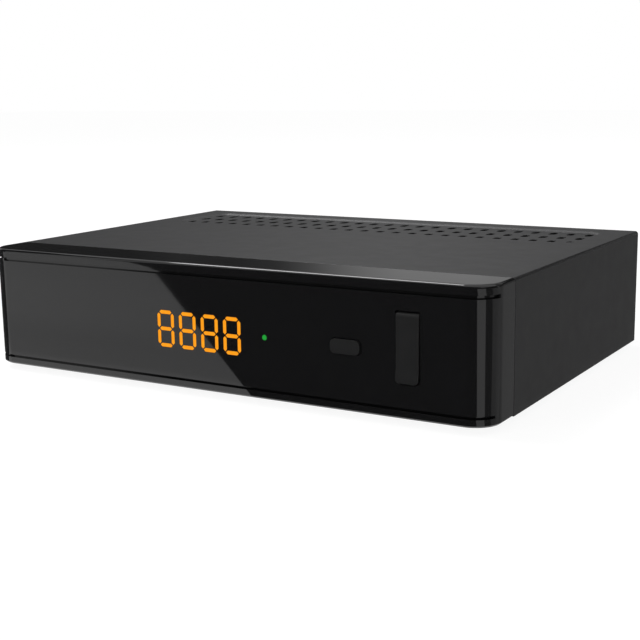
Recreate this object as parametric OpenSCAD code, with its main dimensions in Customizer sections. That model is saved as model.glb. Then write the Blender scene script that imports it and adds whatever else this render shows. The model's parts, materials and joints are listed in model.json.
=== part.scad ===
// Satellite receiver: a small set-top box with a moulded gloss front, a folded steel case,
// a four-digit display, a sprung standby button and a hinged flap over an upright USB socket.
//
// Every module is drawn with x = 0 in the middle of the case, y = 0 on the front face and
// z = 0 on the underside of the case. placed() then puts it in the part's frame: the origin
// is the bottom centre of the whole box, under the feet, and the front looks along -Y.

/* [Case] */
// Width of the case
body_w = 168; // [152:1:200]
// Depth of the case, from the front face to the back of the cover
body_d = 120; // [116:1:150]
// Height of the case without its feet
body_h = 36; // [34:0.5:44]
// Thickness of the steel sheet
sheet = 0.8; // [0.5:0.1:1.2]
// Radius of the long edges of the cover and the front
edge_r = 1; // [0.6:0.1:1.8]
// Gap between the cover's sides and the tray's flanges
cover_gap = 0.2; // [0.1:0.05:0.4]
// Height of the tray's side flanges
flange_h = 14; // [8:1:20]
// Visible seam between the front moulding and the steel case
seam = 0.3; // [0.1:0.05:0.6]

/* [Front moulding] */
// Depth of the front moulding
fascia_d = 15; // [14.5:0.5:22]
// Wall thickness of the front moulding
fascia_wall = 2.2; // [2:0.1:3]
// Radius of the two upright front corners
corner_r = 7.5; // [5:0.5:12]
// Depth of the two shadow grooves
groove_depth = 1.2; // [0.6:0.1:1.6]
// Height of the upper groove
groove_top_h = 1; // [0.5:0.1:1.6]
// Middle of the upper groove, down from the top of the case
groove_top_drop = 3.15; // [2.6:0.05:4.5]
// Where the upper groove ends on the sides
groove_top_end = 6; // [4:0.5:10]
// Height of the lower groove
groove_low_h = 0.8; // [0.5:0.1:1.4]
// Middle of the lower groove, up from the underside
groove_low_z = 2.5; // [1.8:0.1:3.5]
// Where the lower groove ends on the sides
groove_low_end = 4.6; // [3:0.2:9]

/* [Display] */
// Number of digits
digit_count = 4; // [1:1:4]
// Width of a digit
digit_w = 6.1; // [4:0.1:7]
// Height of a digit
digit_h = 10.9; // [8:0.1:14]
// Spacing of the digits
digit_pitch = 7.6; // [7.2:0.1:9]
// Thickness of a segment
segment_t = 1.35; // [0.8:0.05:1.8]
// Gap between neighbouring segments
segment_gap = 0.45; // [0.2:0.05:0.6]
// Gap between a segment and its hole in the front
segment_clear = 0.04; // [0.02:0.01:0.08]
// Distance from the middle of the display to the lamp
display_pitch = 22.1; // [20:0.1:26]
// Middle of the display, up
display_z = 16.7; // [14:0.1:19]
// Height of the controls, which is the middle of the lamp and the button
control_z = 17.3; // [15:0.1:19]
// Radius of the status lamp's light pipe
lamp_r = 0.75; // [0.5:0.05:1]
// Distance from the lamp to the remote control receiver
lamp_pitch = 8.3; // [7.5:0.1:12]
// Distance from the remote control receiver to the button
sensor_pitch = 16.9; // [15.5:0.1:22]

/* [Standby button] */
// Width of the button
button_w = 8.8; // [6:0.1:11]
// Height of the button
button_h = 3.9; // [3:0.1:6]
// Radius of the button's corners
button_corner = 1.4; // [0.5:0.1:1.5]
// Distance from the button to the flap
button_pitch = 18; // [16:0.1:22]
// How far the button stands proud
button_proud = 0.6; // [0.2:0.1:0.9]
// Gap round the button
button_gap = 0.25; // [0.15:0.05:0.4]
// Travel of the button
button_travel = 0.4; // [0.2:0.05:0.5]
// Radius of the button's stem
stem_r = 1.2; // [0.8:0.1:1.6]

/* [USB flap] */
// Width of the flap
flap_w = 6.5; // [6.4:0.1:9]
// Height of the flap
flap_h = 18.6; // [18.5:0.1:21]
// Thickness of the flap
flap_t = 1.6; // [1.3:0.1:1.7]
// Distance of the flap from the right side of the case
flap_inset = 22.6; // [21:0.1:26]
// Bottom edge of the flap, up from the underside
flap_z = 9.3; // [8.5:0.1:10]
// How far the flap stands proud
flap_proud = 0.3; // [0.2:0.05:0.5]
// How far the finger lip stands proud
lip_proud = 0.8; // [0.6:0.05:1]
// Height over which the finger lip rises out of the flap
lip_h = 4.5; // [3:0.5:7]
// Radius of the flap's lower corners
flap_corner = 1.4; // [0.7:0.1:2]
// Radius of the flap's upper corners, small so that they turn clear of the opening
flap_top_corner = 0.6; // [0.4:0.1:1]
// Gap round the flap
flap_gap = 0.25; // [0.2:0.05:0.35]
// Radius of the flap's pivot pins
pivot_r = 0.6; // [0.4:0.05:0.6]
// Radial clearance of the pivot pins
pivot_clear = 0.05; // [0.02:0.01:0.08]
// Length of each pivot pin
pivot_len = 0.9; // [0.6:0.1:1.5]

/* [Vents] */
// Plain sheet at each end of the pressed strip that holds the slots
strip_side = 9; // [7:0.5:20]
// Number of rows of vent slots
vent_rows = 3; // [1:1:5]
// Spacing of the slots in a row
vent_pitch = 6; // [5:0.1:6]
// Spacing of the rows
vent_row_pitch = 9.15; // [7:0.05:11]
// Width of a slot
vent_w = 2.2; // [1.2:0.1:3]
// Length of a slot
vent_l = 4.6; // [3.5:0.1:6]
// Depth of the pressed strip that holds the slots
strip_depth = 0.6; // [0.3:0.1:1]
// Least rim between the end slots and the ends of the pressed strip
strip_end_rim = 1.9; // [1.5:0.1:4]
// Rim between the outer rows and the long edges of the pressed strip
strip_rim = 3; // [2:0.25:4]
// Width of the plain sheet behind the pressed strip
strip_back = 7.5; // [5:0.5:12]
// Radius of the strip's corners
strip_r = 5; // [3:0.5:7]
// Width of the strip's sloping wall
strip_slope = 0.9; // [0.5:0.1:1.5]

/* [Boards] */
// Thickness of the circuit boards
board_t = 1.6; // [1:0.1:2]
// Height of the standoffs under the main board
standoff_h = 5; // [3:0.5:6]
// Radius of the standoffs
standoff_r = 3; // [2.5:0.1:4]
// Radius of the board screws' shanks
screw_r = 1.4; // [1:0.1:1.5]
// Radial clearance of the screws in their threaded holes
screw_clear = 0.05; // [0.02:0.01:0.08]
// Gap between the main board and the case, at the sides
board_gap = 6; // [4:0.5:8]
// Front face of the display board, from the front of the case
front_board_y = 11; // [10.5:0.1:11.2]

/* [Rear sockets] */
// Distance of the aerial input from the right side of the case
lnb_inset = 16; // [14:0.5:20]
// Spacing of the two aerial sockets
lnb_pitch = 16; // [14:0.5:18]
// Outer radius of the aerial sockets' thread
lnb_r = 4.76; // [4.7:0.01:4.8]
// How far the aerial sockets stand out of the back
lnb_reach = 10; // [9:0.5:14]
// Outer radius of the digital audio socket's barrel
coax_r = 4.15; // [4.1:0.01:4.2]
// How far the digital audio socket's barrel stands out of the back
coax_reach = 8.6; // [7:0.1:9]
// Distance of the power socket from the left side of the case
power_inset = 18; // [14:0.5:20]
// Radius of the power socket's centre pin
power_pin_r = 1.05; // [0.8:0.05:1.25]
// Radius of the power socket's bore
power_bore_r = 2.8; // [2.6:0.05:3]

/* [Feet] */
// Height of the rubber feet
foot_h = 2; // [1:0.1:6]
// Radius of the rubber feet
foot_r = 6; // [4:0.5:8]
// Distance of the feet from the sides of the case
foot_inset = 14; // [12:0.5:30]
// Distance of the front feet from the front of the case
foot_front = 27; // [24:1:40]
// Distance of the rear feet from the back of the case
foot_back = 12; // [10:0.5:30]

/* [Hidden] */

$fn = 48;
eps = 0.01;
half_w = body_w / 2;
arc_steps = 16;

// The frame: the box reaches from the finger lip to the tips of the aerial sockets.
front_reach = max(lip_proud, button_proud);
front_y = -(front_reach + body_d + lnb_reach) / 2 + front_reach;

// Case
tray_half = half_w - sheet - cover_gap;
tray_front = fascia_d + seam;
tray_back = body_d - sheet;
wall_inner = tray_back - sheet;
cover_under = body_h - sheet;
bend_r = 1.8;
panel_foot = 8;
panel_side = 3;

// Controls, counted from the right side of the case
flap_x = half_w - flap_inset;
button_x = flap_x - button_pitch;
sensor_x = button_x - sensor_pitch;
lamp_x = sensor_x - lamp_pitch;
display_x = lamp_x - display_pitch;

// Main board, and what stands on it
board_z = sheet + standoff_h;
board_top = board_z + board_t;
board_half = tray_half - sheet - board_gap;
board_front_gap = 0.9;
board_back_gap = 1.4;
board_front = tray_front + sheet + board_front_gap;
board_back = wall_inner - board_back_gap;
board_nose = 3.5;
board_nose_left = 9;
board_nose_right = 6;
board_hole_clear = 0.2;
board_under_gap = 0.8;
screw_head_r = 2.8;
screw_head_h = 1.8;
screw_grip = 4;
rivet_r = 2.2;
rivet_fit = 0.02;

// Display board, held on two posts behind the front
post_r = 2.2;
post_pilot_r = 0.9;
post_z = 25;
post_left_gap = 27;
post_right_gap = 7;
post_left_x = display_x - post_left_gap;
post_right_x = sensor_x + post_right_gap;
post_screw_grip = 5;
small_head_r = 2.2;
small_head_h = 1.4;
front_board_edge = 5;
front_board_rise = 0.6;
rib_h = 2.5;
rib_clear = 0.3;
front_board_left = post_left_x - front_board_edge;
front_board_right = button_x + button_w / 2 + front_board_edge;
front_board_low = board_top + front_board_rise;
front_board_high = body_h - fascia_wall - rib_h - rib_clear;
front_board_back = front_board_y + board_t;

// Pin header between the two boards
pin_count = 8;
pin_pitch = 2.54;
pin_t = 0.64;
header_setback = 0.6;
header_left = 24.1;

// Parts behind the front
rest_gap = 0.2;
module_y = fascia_wall + rest_gap;
module_rim = 2;
switch_size = 6;
switch_h = 3.4;
switch_y = front_board_y - switch_h;
plunger_r = 1.7;
plunger_clear = 0.05;
plunger_out = 1;
plunger_y = switch_y - plunger_out;
plunger_seat = 1.8;
plunger_end_gap = 0.2;
button_flange = 1.2;
button_flange_t = 0.8;
button_flange_y = fascia_wall + 0.3;
touch_gap = 0.1;
led_r = 1.5;
led_rim = 0.4;
led_rim_t = 1;
led_len = 3.9;
led_y = front_board_y - led_len;
pipe_flange_y = fascia_wall + rest_gap;
sensor_w = 5.6;
sensor_h = 6.8;
sensor_t = 2.6;
sensor_lens_r = 1.9;
sensor_lens_rise = 0.8;

// Rubber feet
foot_dimple = 0.5;
foot_taper = 0.3;
foot_round = 0.5;

// Flap: its top edge is a barrel about the pivot, tangent to its front face
pivot_y = 1.1;
barrel_r = pivot_y + flap_proud;
flap_top = flap_z + flap_h;
pivot_z = flap_top - barrel_r;
pocket_y = flap_t - flap_proud + 0.3;
pocket_top_corner = 0.35;
lip_r = 0.5;
pin_end_gap = 0.15;
bay_gap = 0.2;

// USB socket, standing upright on the nose of the main board
usb_w = 5.7;
usb_h = 13.1;
usb_len = 14;
usb_wall = 0.4;
usb_corner = 0.6;
usb_leg_l = 2;
usb_leg_front = 3.5;
usb_leg_back = 9.5;
usb_block_l = 2.4;
usb_block_gap = 0.05;
usb_window_w = 5.4;
usb_window_h = 12.9;
usb_window_rise = 1.55;
usb_z = flap_z + usb_window_rise + usb_window_h / 2;
usb_y = fascia_wall + 0.1;

// Posts that join the front moulding to the tray
joint_post_r = 3;
joint_post_inset = 11;
joint_post_x = half_w - joint_post_inset;
joint_post_z = 12;
joint_ear = 5;
joint_pilot_r = 1.1;
joint_grip = 7;

// Tongues of the front moulding, which the cover's front edge lies on
tongue_w = 12;
tongue_t = 1.4;
tongue_reach = 6;
tongue_gap = 0.1;
tongue_inset = 24;

// Pressed strip of the cover
strip_w = body_w - 2 * strip_side;
vent_columns = 1 + floor((strip_w - vent_w - 2 * strip_end_rim) / vent_pitch + eps);
strip_l = (vent_rows - 1) * vent_row_pitch + vent_l + 2 * strip_rim;
strip_y = body_d - strip_back - strip_l / 2;

// Tabs that hold the back of the cover
tab_w = 14;
tab_h = 8;
tab_drop = 4.6;
tab_inset = 12;
tab_x = [-half_w + tab_inset, 0, half_w - tab_inset];

// Air slots in the floor
floor_slot_l = 24;
floor_slot_w = 2.2;
floor_slot_pitch = 5;
floor_slot_count = 9;
floor_slot_back = 49.6;
floor_bank_x = 30;
bead_h = 0.8;
bead_inset = 26;
bead_front = 21;
bead_back = 31;

// Tuner can
lnb_in_x = half_w - lnb_inset;
lnb_out_x = lnb_in_x - lnb_pitch;
can_wall = 0.5;
can_side = 8;
can_w = lnb_pitch + 2 * can_side;
can_l = 44;
can_h = 12.6;
can_x = (lnb_in_x + lnb_out_x) / 2;
can_left = can_x - can_w / 2 - can_wall;
can_back = board_back - 0.6;
can_screen = 19.8;
lid_tab_l = 8;
lid_tab_h = 3;
lid_tab_front = 4;
lid_tab_gap = 0.02;
lid_hole_r = 1.6;
lid_hole_pitch = 6;
lid_hole_count = 4;
lid_hole_front = 11;
lnb_lift = 0.4;
lnb_z = board_top + can_h / 2 + lnb_lift;
lnb_hole = 0.2;
lnb_flange_r = 5.8;
nut_t = 2.4;
nut_af = 11;
nut_clear = 0.04;
relief_w = 0.7;
relief_depth = 0.4;
lnb_bore_r = 3.3;
lnb_tip = body_d + lnb_reach;

// Video socket
hdmi_w = 14.6;
hdmi_h = 5.6;
hdmi_wall = 0.45;
hdmi_chamfer = 1.9;
hdmi_tongue_w = 10.8;
hdmi_tongue_t = 1.1;
hdmi_tongue_z = 0.1;
hdmi_block_l = 3;
hdmi_len = 12;
hdmi_z = board_top + hdmi_h / 2;
hdmi_out = 0.4;
hdmi_clear = 0.3;

// Multi-pin socket
scart_w = 49;
scart_h = 17;
scart_len = 17;
scart_skew = 5;
scart_z = board_top + scart_h / 2 + 0.6;
scart_groove = 1.5;
scart_rim = 1.3;
scart_depth = 11;
scart_clear = 0.25;
scart_slot_w = 1.2;
scart_slot_h = 3.4;
scart_slot_depth = 9;
scart_slot_pitch = 3.81;
scart_slot_count = 10;
scart_row = 2.6;

// Digital audio socket
coax_rise = 6.5;
coax_z = board_top + coax_rise;
coax_block = 11;
coax_block_l = 11;
coax_collar_r = 5.4;
coax_collar_y = tray_back + 0.6;
coax_root = 4;
coax_root_step = 0.45;
coax_root_r = coax_r - coax_root_step;
coax_tube = 0.55;
coax_fit = 0.02;
coax_hole_r = 1.6;
coax_hole_l = 8.5;
coax_clear = 0.2;

// Power socket
power_x = -half_w + power_inset;
power_rise = 5.6;
power_z = board_top + power_rise;
power_block = 9.4;
power_block_l = 13;
power_nose_r = 4.6;
power_depth = 9.5;
power_out = 0.2;
power_pin_drop = 0.8;

// The middle sockets share the room between the power socket and the tuner can evenly.
socket_room = can_left - (power_x + power_block / 2);
socket_gap = (socket_room - coax_block - scart_w - hdmi_w) / 4;
coax_x = power_x + power_block / 2 + socket_gap + coax_block / 2;
scart_x = coax_x + coax_block / 2 + socket_gap + scart_w / 2;
hdmi_x = scart_x + scart_w / 2 + socket_gap + hdmi_w / 2;

// Standoffs and screws of the main board: four near its corners, one between them
stand_edge = 5;
stand_front = 9;
stand_back = 19;
stand_can_gap = 6.5;
stand_mid_x = -24;
stand_mid_y = 32;
stand_points = [
    [-board_half + stand_edge, board_front + stand_front],
    [board_half - stand_edge, board_front + stand_front],
    [-board_half + stand_edge, board_back - stand_back],
    [can_left - stand_can_gap, board_back - stand_back],
    [stand_mid_x, board_front + stand_mid_y]
];

// Processor and its heatsink
chip_x = 10;
chip_from_front = 53;
chip_y = board_front + chip_from_front;
chip_size = 17;
chip_h = 1.4;
sink_size = 34;
sink_base = 2.6;
sink_h = 12;
fin_t = 1.2;
fin_count = 9;
outer_fin_drop = 2;

// Small parts of the main board stand on a grid, counted from the board's front corners.
grid = 2;
memory_w = 9;
memory_l = 13;
memory_h = 1.1;
memory_gap = 25;
memory_shift = 8;
flash_w = 6;
flash_l = 8;
flash_h = 1.6;
power_chip_w = 4;
power_chip_l = 5;
power_chip_h = 1.5;
large_can_r = 5;
large_can_h = 12.5;
medium_can_r = 4;
medium_can_h = 11;
small_can_r = 3.2;
small_can_h = 8;
large_can = [large_can_r, large_can_h];
medium_can = [medium_can_r, medium_can_h];
small_can = [small_can_r, small_can_h];
sleeve_t = 0.3;
sleeve_groove = 0.5;
sleeve_groove_z = 1.2;
coil_base = 7;
coil_base_h = 1;
coil_r = 3.2;
coil_h = 2.6;
crystal_w = 10.2;
crystal_l = 4.3;
crystal_h = 3.4;

/* Helpers */

function arc(cx, cy, r, a0, a1, steps) = [
    for (i = [0 : steps])
        let (a = a0 + (a1 - a0) * i / steps) [cx + r * cos(a), cy + r * sin(a)]
];

// Plan of the front moulding, shrunk by inset everywhere but at its back.
function footprint(inset, depth) = concat(
    [[-half_w + inset, depth]],
    arc(-half_w + corner_r, corner_r, corner_r - inset, 180, 270, arc_steps),
    arc(half_w - corner_r, corner_r, corner_r - inset, 270, 360, arc_steps),
    [[half_w - inset, depth]]
);

function round_rect(w, h, r, steps = 6) = concat(
    arc(w / 2 - r, h / 2 - r, r, 0, 90, steps),
    arc(-w / 2 + r, h / 2 - r, r, 90, 180, steps),
    arc(-w / 2 + r, -h / 2 + r, r, 180, 270, steps),
    arc(w / 2 - r, -h / 2 + r, r, 270, 360, steps)
);

// The flap's outline: its upper corners have the radius r_top and its lower ones r_low.
function flap_outline(w, h, r_top, r_low, steps = 6) = concat(
    arc(w / 2 - r_top, h / 2 - r_top, r_top, 0, 90, steps),
    arc(-w / 2 + r_top, h / 2 - r_top, r_top, 90, 180, steps),
    arc(-w / 2 + r_low, -h / 2 + r_low, r_low, 180, 270, steps),
    arc(w / 2 - r_low, -h / 2 + r_low, r_low, 270, 360, steps)
);

// The button's outline, grown by grow on all sides.
function button_outline(grow) =
    round_rect(button_w + 2 * grow, button_h + 2 * grow, button_corner + grow, 8);

// A bar with round ends, w along the first axis and h along the second, w the longer.
function stadium(w, h, steps = 16) = concat(
    arc((w - h) / 2, 0, h / 2, -90, 90, steps),
    arc(-(w - h) / 2, 0, h / 2, 90, 270, steps)
);

// A display segment: a bar with pointed ends.
function segment(len, t) = [
    [-len / 2, 0], [-len / 2 + t / 2, t / 2], [len / 2 - t / 2, t / 2],
    [len / 2, 0], [len / 2 - t / 2, -t / 2], [-len / 2 + t / 2, -t / 2]
];

// A D-shaped outline with one lower corner cut to a slope.
function d_outline(w, h, skew) = [
    [-w / 2, -h / 2], [w / 2 - skew, -h / 2], [w / 2, -h / 2 + skew],
    [w / 2, h / 2], [-w / 2, h / 2]
];

// The video socket's outline: wide at the top, with both lower corners cut to a slope.
function hdmi_outline(w, h) = [
    [-w / 2, h / 2], [-w / 2, -h / 2 + hdmi_chamfer], [-w / 2 + hdmi_chamfer, -h / 2],
    [w / 2 - hdmi_chamfer, -h / 2], [w / 2, -h / 2 + hdmi_chamfer], [w / 2, h / 2]
];

// Lifts a flat outline to the height z.
function raise(outline, z) = [for (p = outline) [p[0], p[1], z]];

// A closed solid through rings of equally many points, from the lowest to the highest.
// Each ring runs anticlockwise, seen from above.
module loft(rings) {
    n = len(rings[0]);
    last = len(rings) - 1;
    polyhedron(
        points = [for (ring = rings) each ring],
        faces = concat(
            [[for (i = [0 : n - 1]) i]],
            [for (k = [0 : last - 1]) for (i = [0 : n - 1])
                [k * n + i, (k + 1) * n + i, (k + 1) * n + (i + 1) % n, k * n + (i + 1) % n]],
            [[for (i = [n - 1 : -1 : 0]) last * n + i]]
        )
    );
}

module placed() {
    translate([0, front_y, foot_h]) children();
}

// Extrudes a shape drawn in x and z from y0 to y1.
module along_y(y0, y1) {
    translate([0, y1, 0]) rotate([90, 0, 0]) linear_extrude(y1 - y0) children();
}

module rod_y(r, y0, y1, x, z) {
    translate([x, y1, z]) rotate([90, 0, 0]) cylinder(r = r, h = y1 - y0);
}

module rod_x(r, x0, x1, y, z) {
    translate([x0, y, z]) rotate([0, 90, 0]) cylinder(r = r, h = x1 - x0);
}

// A box from its lowest corner to its highest.
module block(low, high) {
    translate(low) cube(high - low);
}

// A pan-head screw along y, its head on the side of larger y.
module screw_y(r, head_r, head_h, y_head, grip, x, z) {
    rod_y(r, y_head - grip, y_head + eps, x, z);
    rod_y(head_r, y_head, y_head + head_h, x, z);
}

/* Front moulding and what shows in it */

function fascia_ring(inset, z) = raise(footprint(inset, fascia_d), z);

// The moulding's outer form, with rounded long edges.
module fascia_form() {
    low_r = 0.5;
    loft(concat(
        [fascia_ring(low_r, 0), fascia_ring(0, low_r)],
        [for (a = [0 : 15 : 90])
            fascia_ring(edge_r * (1 - cos(a)), body_h - edge_r * (1 - sin(a)))]
    ));
}

// A groove round the front and its corners, which ends on the sides at y_end.
module groove(z, h, y_end) {
    translate([0, 0, z - h / 2]) difference() {
        block([-half_w - 1, -1, 0], [half_w + 1, y_end, h]);
        translate([0, 0, -1])
            linear_extrude(h + 2) polygon(footprint(groove_depth, fascia_d));
    }
}

// The outlines of every segment of the display, grown by grow on all sides.
module segment_outlines(grow) {
    across = digit_w - segment_t;
    rise = (digit_h - segment_t) / 2;
    side_len = rise - segment_gap + 2 * grow;
    bar_len = across - segment_gap + 2 * grow;
    wide = segment_t - segment_gap / 2 + 2 * grow;
    for (i = [0 : digit_count - 1])
        translate([display_x + (i - (digit_count - 1) / 2) * digit_pitch, display_z]) {
            for (z = [-rise, 0, rise])
                translate([0, z]) polygon(segment(bar_len, wide));
            for (x = [-across / 2, across / 2])
                for (z = [-rise / 2, rise / 2])
                    translate([x, z]) rotate(90) polygon(segment(side_len, wide));
        }
}

module joint_posts() {
    for (side = [-1, 1])
        difference() {
            rod_y(joint_post_r, fascia_wall - eps, tray_front, side * joint_post_x, joint_post_z);
            rod_y(joint_pilot_r, tray_front - joint_grip - 1, tray_front + 1,
                  side * joint_post_x, joint_post_z);
        }
}

module board_posts() {
    for (x = [post_left_x, post_right_x])
        difference() {
            rod_y(post_r, fascia_wall - eps, front_board_y, x, post_z);
            rod_y(post_pilot_r, front_board_y - post_screw_grip - 1, front_board_y + 1, x, post_z);
        }
}

// The pocket for the flap, the window behind it, the bay for its barrel and its pivot holes.
module flap_cuts() {
    translate([flap_x, 0, 0]) {
        along_y(-1, pocket_y)
            translate([0, flap_z + flap_h / 2])
                polygon(flap_outline(flap_w + 2 * flap_gap, flap_h + 2 * flap_gap,
                                     pocket_top_corner, flap_corner + flap_gap));
        block([-usb_window_w / 2, 0, usb_z - usb_window_h / 2],
              [usb_window_w / 2, fascia_wall + 1, usb_z + usb_window_h / 2]);
        block([-flap_w / 2 - flap_gap, pivot_y, pivot_z - barrel_r - bay_gap],
              [flap_w / 2 + flap_gap, fascia_wall + 1, pivot_z + barrel_r + flap_gap]);
        rod_x(pivot_r + pivot_clear, -flap_w / 2 - pivot_len - pin_end_gap,
              flap_w / 2 + pivot_len + pin_end_gap, pivot_y, pivot_z);
    }
}

// Short stiffening ribs under the top wall and over the bottom wall, which stop clear of
// the boards, the posts and the flap's bay.
module fascia_ribs() {
    rib_t = 1;
    rib_pitch = 14;
    pairs = floor((joint_post_x - joint_ear - rib_t) / rib_pitch);
    for (i = [-pairs : pairs], low = [fascia_wall - eps, body_h - fascia_wall - rib_h])
        if (abs(i * rib_pitch - flap_x) > board_nose_left)
            block([i * rib_pitch - rib_t / 2, fascia_wall - eps, low],
                  [i * rib_pitch + rib_t / 2, fascia_d - 1, low + rib_h + eps]);
}

// Tongues that reach under the front edge of the cover, each with a sloped lead-in.
module fascia_tongues() {
    top = cover_under - tongue_gap;
    root = body_h - fascia_wall;
    for (x = [-half_w + tongue_inset, 0, half_w - tongue_inset])
        translate([x - tongue_w / 2, 0, 0]) rotate([90, 0, 90]) linear_extrude(tongue_w)
            polygon([[fascia_wall, root - rib_h], [fascia_d - 4, root - rib_h],
                     [fascia_d, top - tongue_t], [fascia_d + tongue_reach, top - tongue_t],
                     [fascia_d + tongue_reach, top - tongue_t / 2],
                     [fascia_d + tongue_reach - 1, top], [fascia_d - 0.5, top],
                     [fascia_d - 0.5, root + eps], [fascia_wall, root + eps]]);
}

module front_fascia() {
    color("#111112") placed() {
        difference() {
            fascia_form();
            translate([0, 0, fascia_wall])
                linear_extrude(body_h - 2 * fascia_wall)
                    polygon(footprint(fascia_wall, fascia_d + 1));
            groove(body_h - groove_top_drop, groove_top_h, groove_top_end);
            groove(groove_low_z, groove_low_h, groove_low_end);
            along_y(-1, fascia_wall + 1) segment_outlines(segment_clear);
            rod_y(lamp_r + segment_clear, -1, fascia_wall + 1, lamp_x, control_z);
            along_y(-1, fascia_wall + 1) translate([button_x, control_z])
                polygon(button_outline(button_gap));
            flap_cuts();
        }
        joint_posts();
        board_posts();
        fascia_ribs();
        fascia_tongues();
    }
}

// The lit bars stand on the display module and fill their holes in the front.
module display_segments() {
    color("#ffa01e") placed()
        along_y(0, module_y) segment_outlines(0);
}

module display_module() {
    half = digit_count * digit_pitch / 2 + module_rim;
    rise = digit_h / 2 + module_rim;
    color("#1b1b1d") placed()
        block([display_x - half, module_y, display_z - rise],
              [display_x + half, front_board_y, display_z + rise]);
}

module light_pipe() {
    color("#35d34c") placed() {
        rod_y(lamp_r, 0, pipe_flange_y + eps, lamp_x, control_z);
        rod_y(led_r, pipe_flange_y, led_y - touch_gap, lamp_x, control_z);
    }
}

module status_led() {
    color("#9fdcA6") placed() {
        rod_y(led_r, led_y, front_board_y, lamp_x, control_z);
        rod_y(led_r + led_rim, front_board_y - led_rim_t, front_board_y, lamp_x, control_z);
    }
}

module remote_sensor() {
    color("#202024") placed() {
        block([sensor_x - sensor_w / 2, front_board_y - sensor_t, control_z - sensor_h / 2],
              [sensor_x + sensor_w / 2, front_board_y, control_z + sensor_h / 2]);
        translate([sensor_x, front_board_y - sensor_t, control_z + sensor_lens_rise])
            sphere(r = sensor_lens_r);
    }
}

// Standby button: cap, retaining flange and stem in one moulding.
module standby_button() {
    flange_back = button_flange_y + button_flange_t;
    color("#1d1d1e") placed() {
        along_y(-button_proud, button_flange_y + eps)
            translate([button_x, control_z]) polygon(button_outline(0));
        along_y(button_flange_y, flange_back)
            translate([button_x, control_z]) polygon(button_outline(button_flange));
        rod_y(stem_r, flange_back - eps, plunger_y - touch_gap, button_x, control_z);
    }
}

module tact_switch() {
    half = switch_size / 2;
    color("#3c3c40") placed()
        difference() {
            block([button_x - half, switch_y, control_z - half],
                  [button_x + half, front_board_y, control_z + half]);
            rod_y(plunger_r + plunger_clear, switch_y - 1,
                  switch_y + plunger_seat + button_travel + plunger_end_gap,
                  button_x, control_z);
        }
}

module tact_plunger() {
    color("#c9c4b8") placed()
        rod_y(plunger_r, plunger_y, switch_y + plunger_seat, button_x, control_z);
}

// The flap's side view at its lower end, where a finger lip rises slowly out of its face.
function lip_profile() = concat(
    [[0, flap_z], [0, flap_z + lip_h], [-flap_proud, flap_z + lip_h]],
    arc(lip_r - lip_proud, flap_z + lip_r, lip_r, 180, 270, 5)
);

// Flap: plate, barrel, finger lip and two pivot pins in one moulding.
module usb_flap() {
    color("#1d1d1e") placed() translate([flap_x, 0, 0]) {
        intersection() {
            union() {
                block([-flap_w / 2, -flap_proud, flap_z + lip_r],
                      [flap_w / 2, flap_t - flap_proud, pivot_z]);
                block([-flap_w / 2, -eps, flap_z],
                      [flap_w / 2, flap_t - flap_proud, pivot_z]);
                rod_x(barrel_r, -flap_w / 2, flap_w / 2, pivot_y, pivot_z);
                translate([-flap_w / 2, 0, 0]) rotate([90, 0, 90])
                    linear_extrude(flap_w) polygon(lip_profile());
            }
            along_y(-lip_proud - 1, pivot_y + barrel_r + 1)
                translate([0, flap_z + flap_h / 2])
                    polygon(flap_outline(flap_w, flap_h, flap_top_corner, flap_corner));
        }
        rod_x(pivot_r, -flap_w / 2 - pivot_len, flap_w / 2 + pivot_len, pivot_y, pivot_z);
    }
}

module usb_shell() {
    color("#b9bcc0") placed() translate([flap_x, 0, usb_z]) {
        difference() {
            along_y(usb_y, usb_y + usb_len) polygon(round_rect(usb_w, usb_h, usb_corner));
            along_y(usb_y - 1, usb_y + usb_len - usb_wall)
                polygon(round_rect(usb_w - 2 * usb_wall, usb_h - 2 * usb_wall, usb_corner / 2));
        }
        for (y = [usb_y + usb_leg_front, usb_y + usb_leg_back],
             x = [-usb_w / 2, usb_w / 2 - usb_wall])
            block([x, y, board_top - usb_z], [x + usb_wall, y + usb_leg_l, 0]);
    }
}

// A tongue that carries the contacts, on a block that fills the back of the shell.
module usb_insulator() {
    back = usb_y + usb_len - usb_wall;
    inner_gap = 2 * (usb_wall + usb_block_gap);
    tongue_half = 5.6;
    color("#e9e9e6") placed() translate([flap_x, 0, usb_z]) {
        block([-0.2, usb_y + 1.2, -tongue_half], [1.5, back - 2, tongue_half]);
        along_y(back - usb_block_l, back)
            polygon(round_rect(usb_w - inner_gap, usb_h - inner_gap, usb_corner / 2));
    }
}

module front_board() {
    color("#1f5a33") placed() difference() {
        block([front_board_left, front_board_y, front_board_low],
              [front_board_right, front_board_back, front_board_high]);
        for (x = [post_left_x, post_right_x])
            rod_y(post_pilot_r + 0.4, front_board_y - 1, front_board_back + 1, x, post_z);
    }
}

module front_board_screws() {
    color("#c4c6c9") placed()
        for (x = [post_left_x, post_right_x])
            screw_y(post_pilot_r - screw_clear, small_head_r, small_head_h, front_board_back,
                    board_t + post_screw_grip, x, post_z);
}

// The row of angled pins that joins the two boards.
module board_header() {
    low = board_top + (pin_pitch - pin_t) / 2;
    y0 = board_front + header_setback;
    left = display_x - header_left;
    color("#141414") placed() {
        block([left, y0, board_top],
              [left + pin_count * pin_pitch, y0 + pin_pitch, board_top + pin_pitch]);
        for (i = [0 : pin_count - 1])
            block([left + (i + 0.5) * pin_pitch - pin_t / 2, front_board_back, low],
                  [left + (i + 0.5) * pin_pitch + pin_t / 2, y0 + eps, low + pin_t]);
    }
}

module fascia_screws() {
    color("#c4c6c9") placed()
        for (side = [-1, 1])
            screw_y(joint_pilot_r - screw_clear, screw_head_r, screw_head_h,
                    tray_front + sheet, sheet + joint_grip, side * joint_post_x, joint_post_z);
}

/* Steel case */

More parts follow.
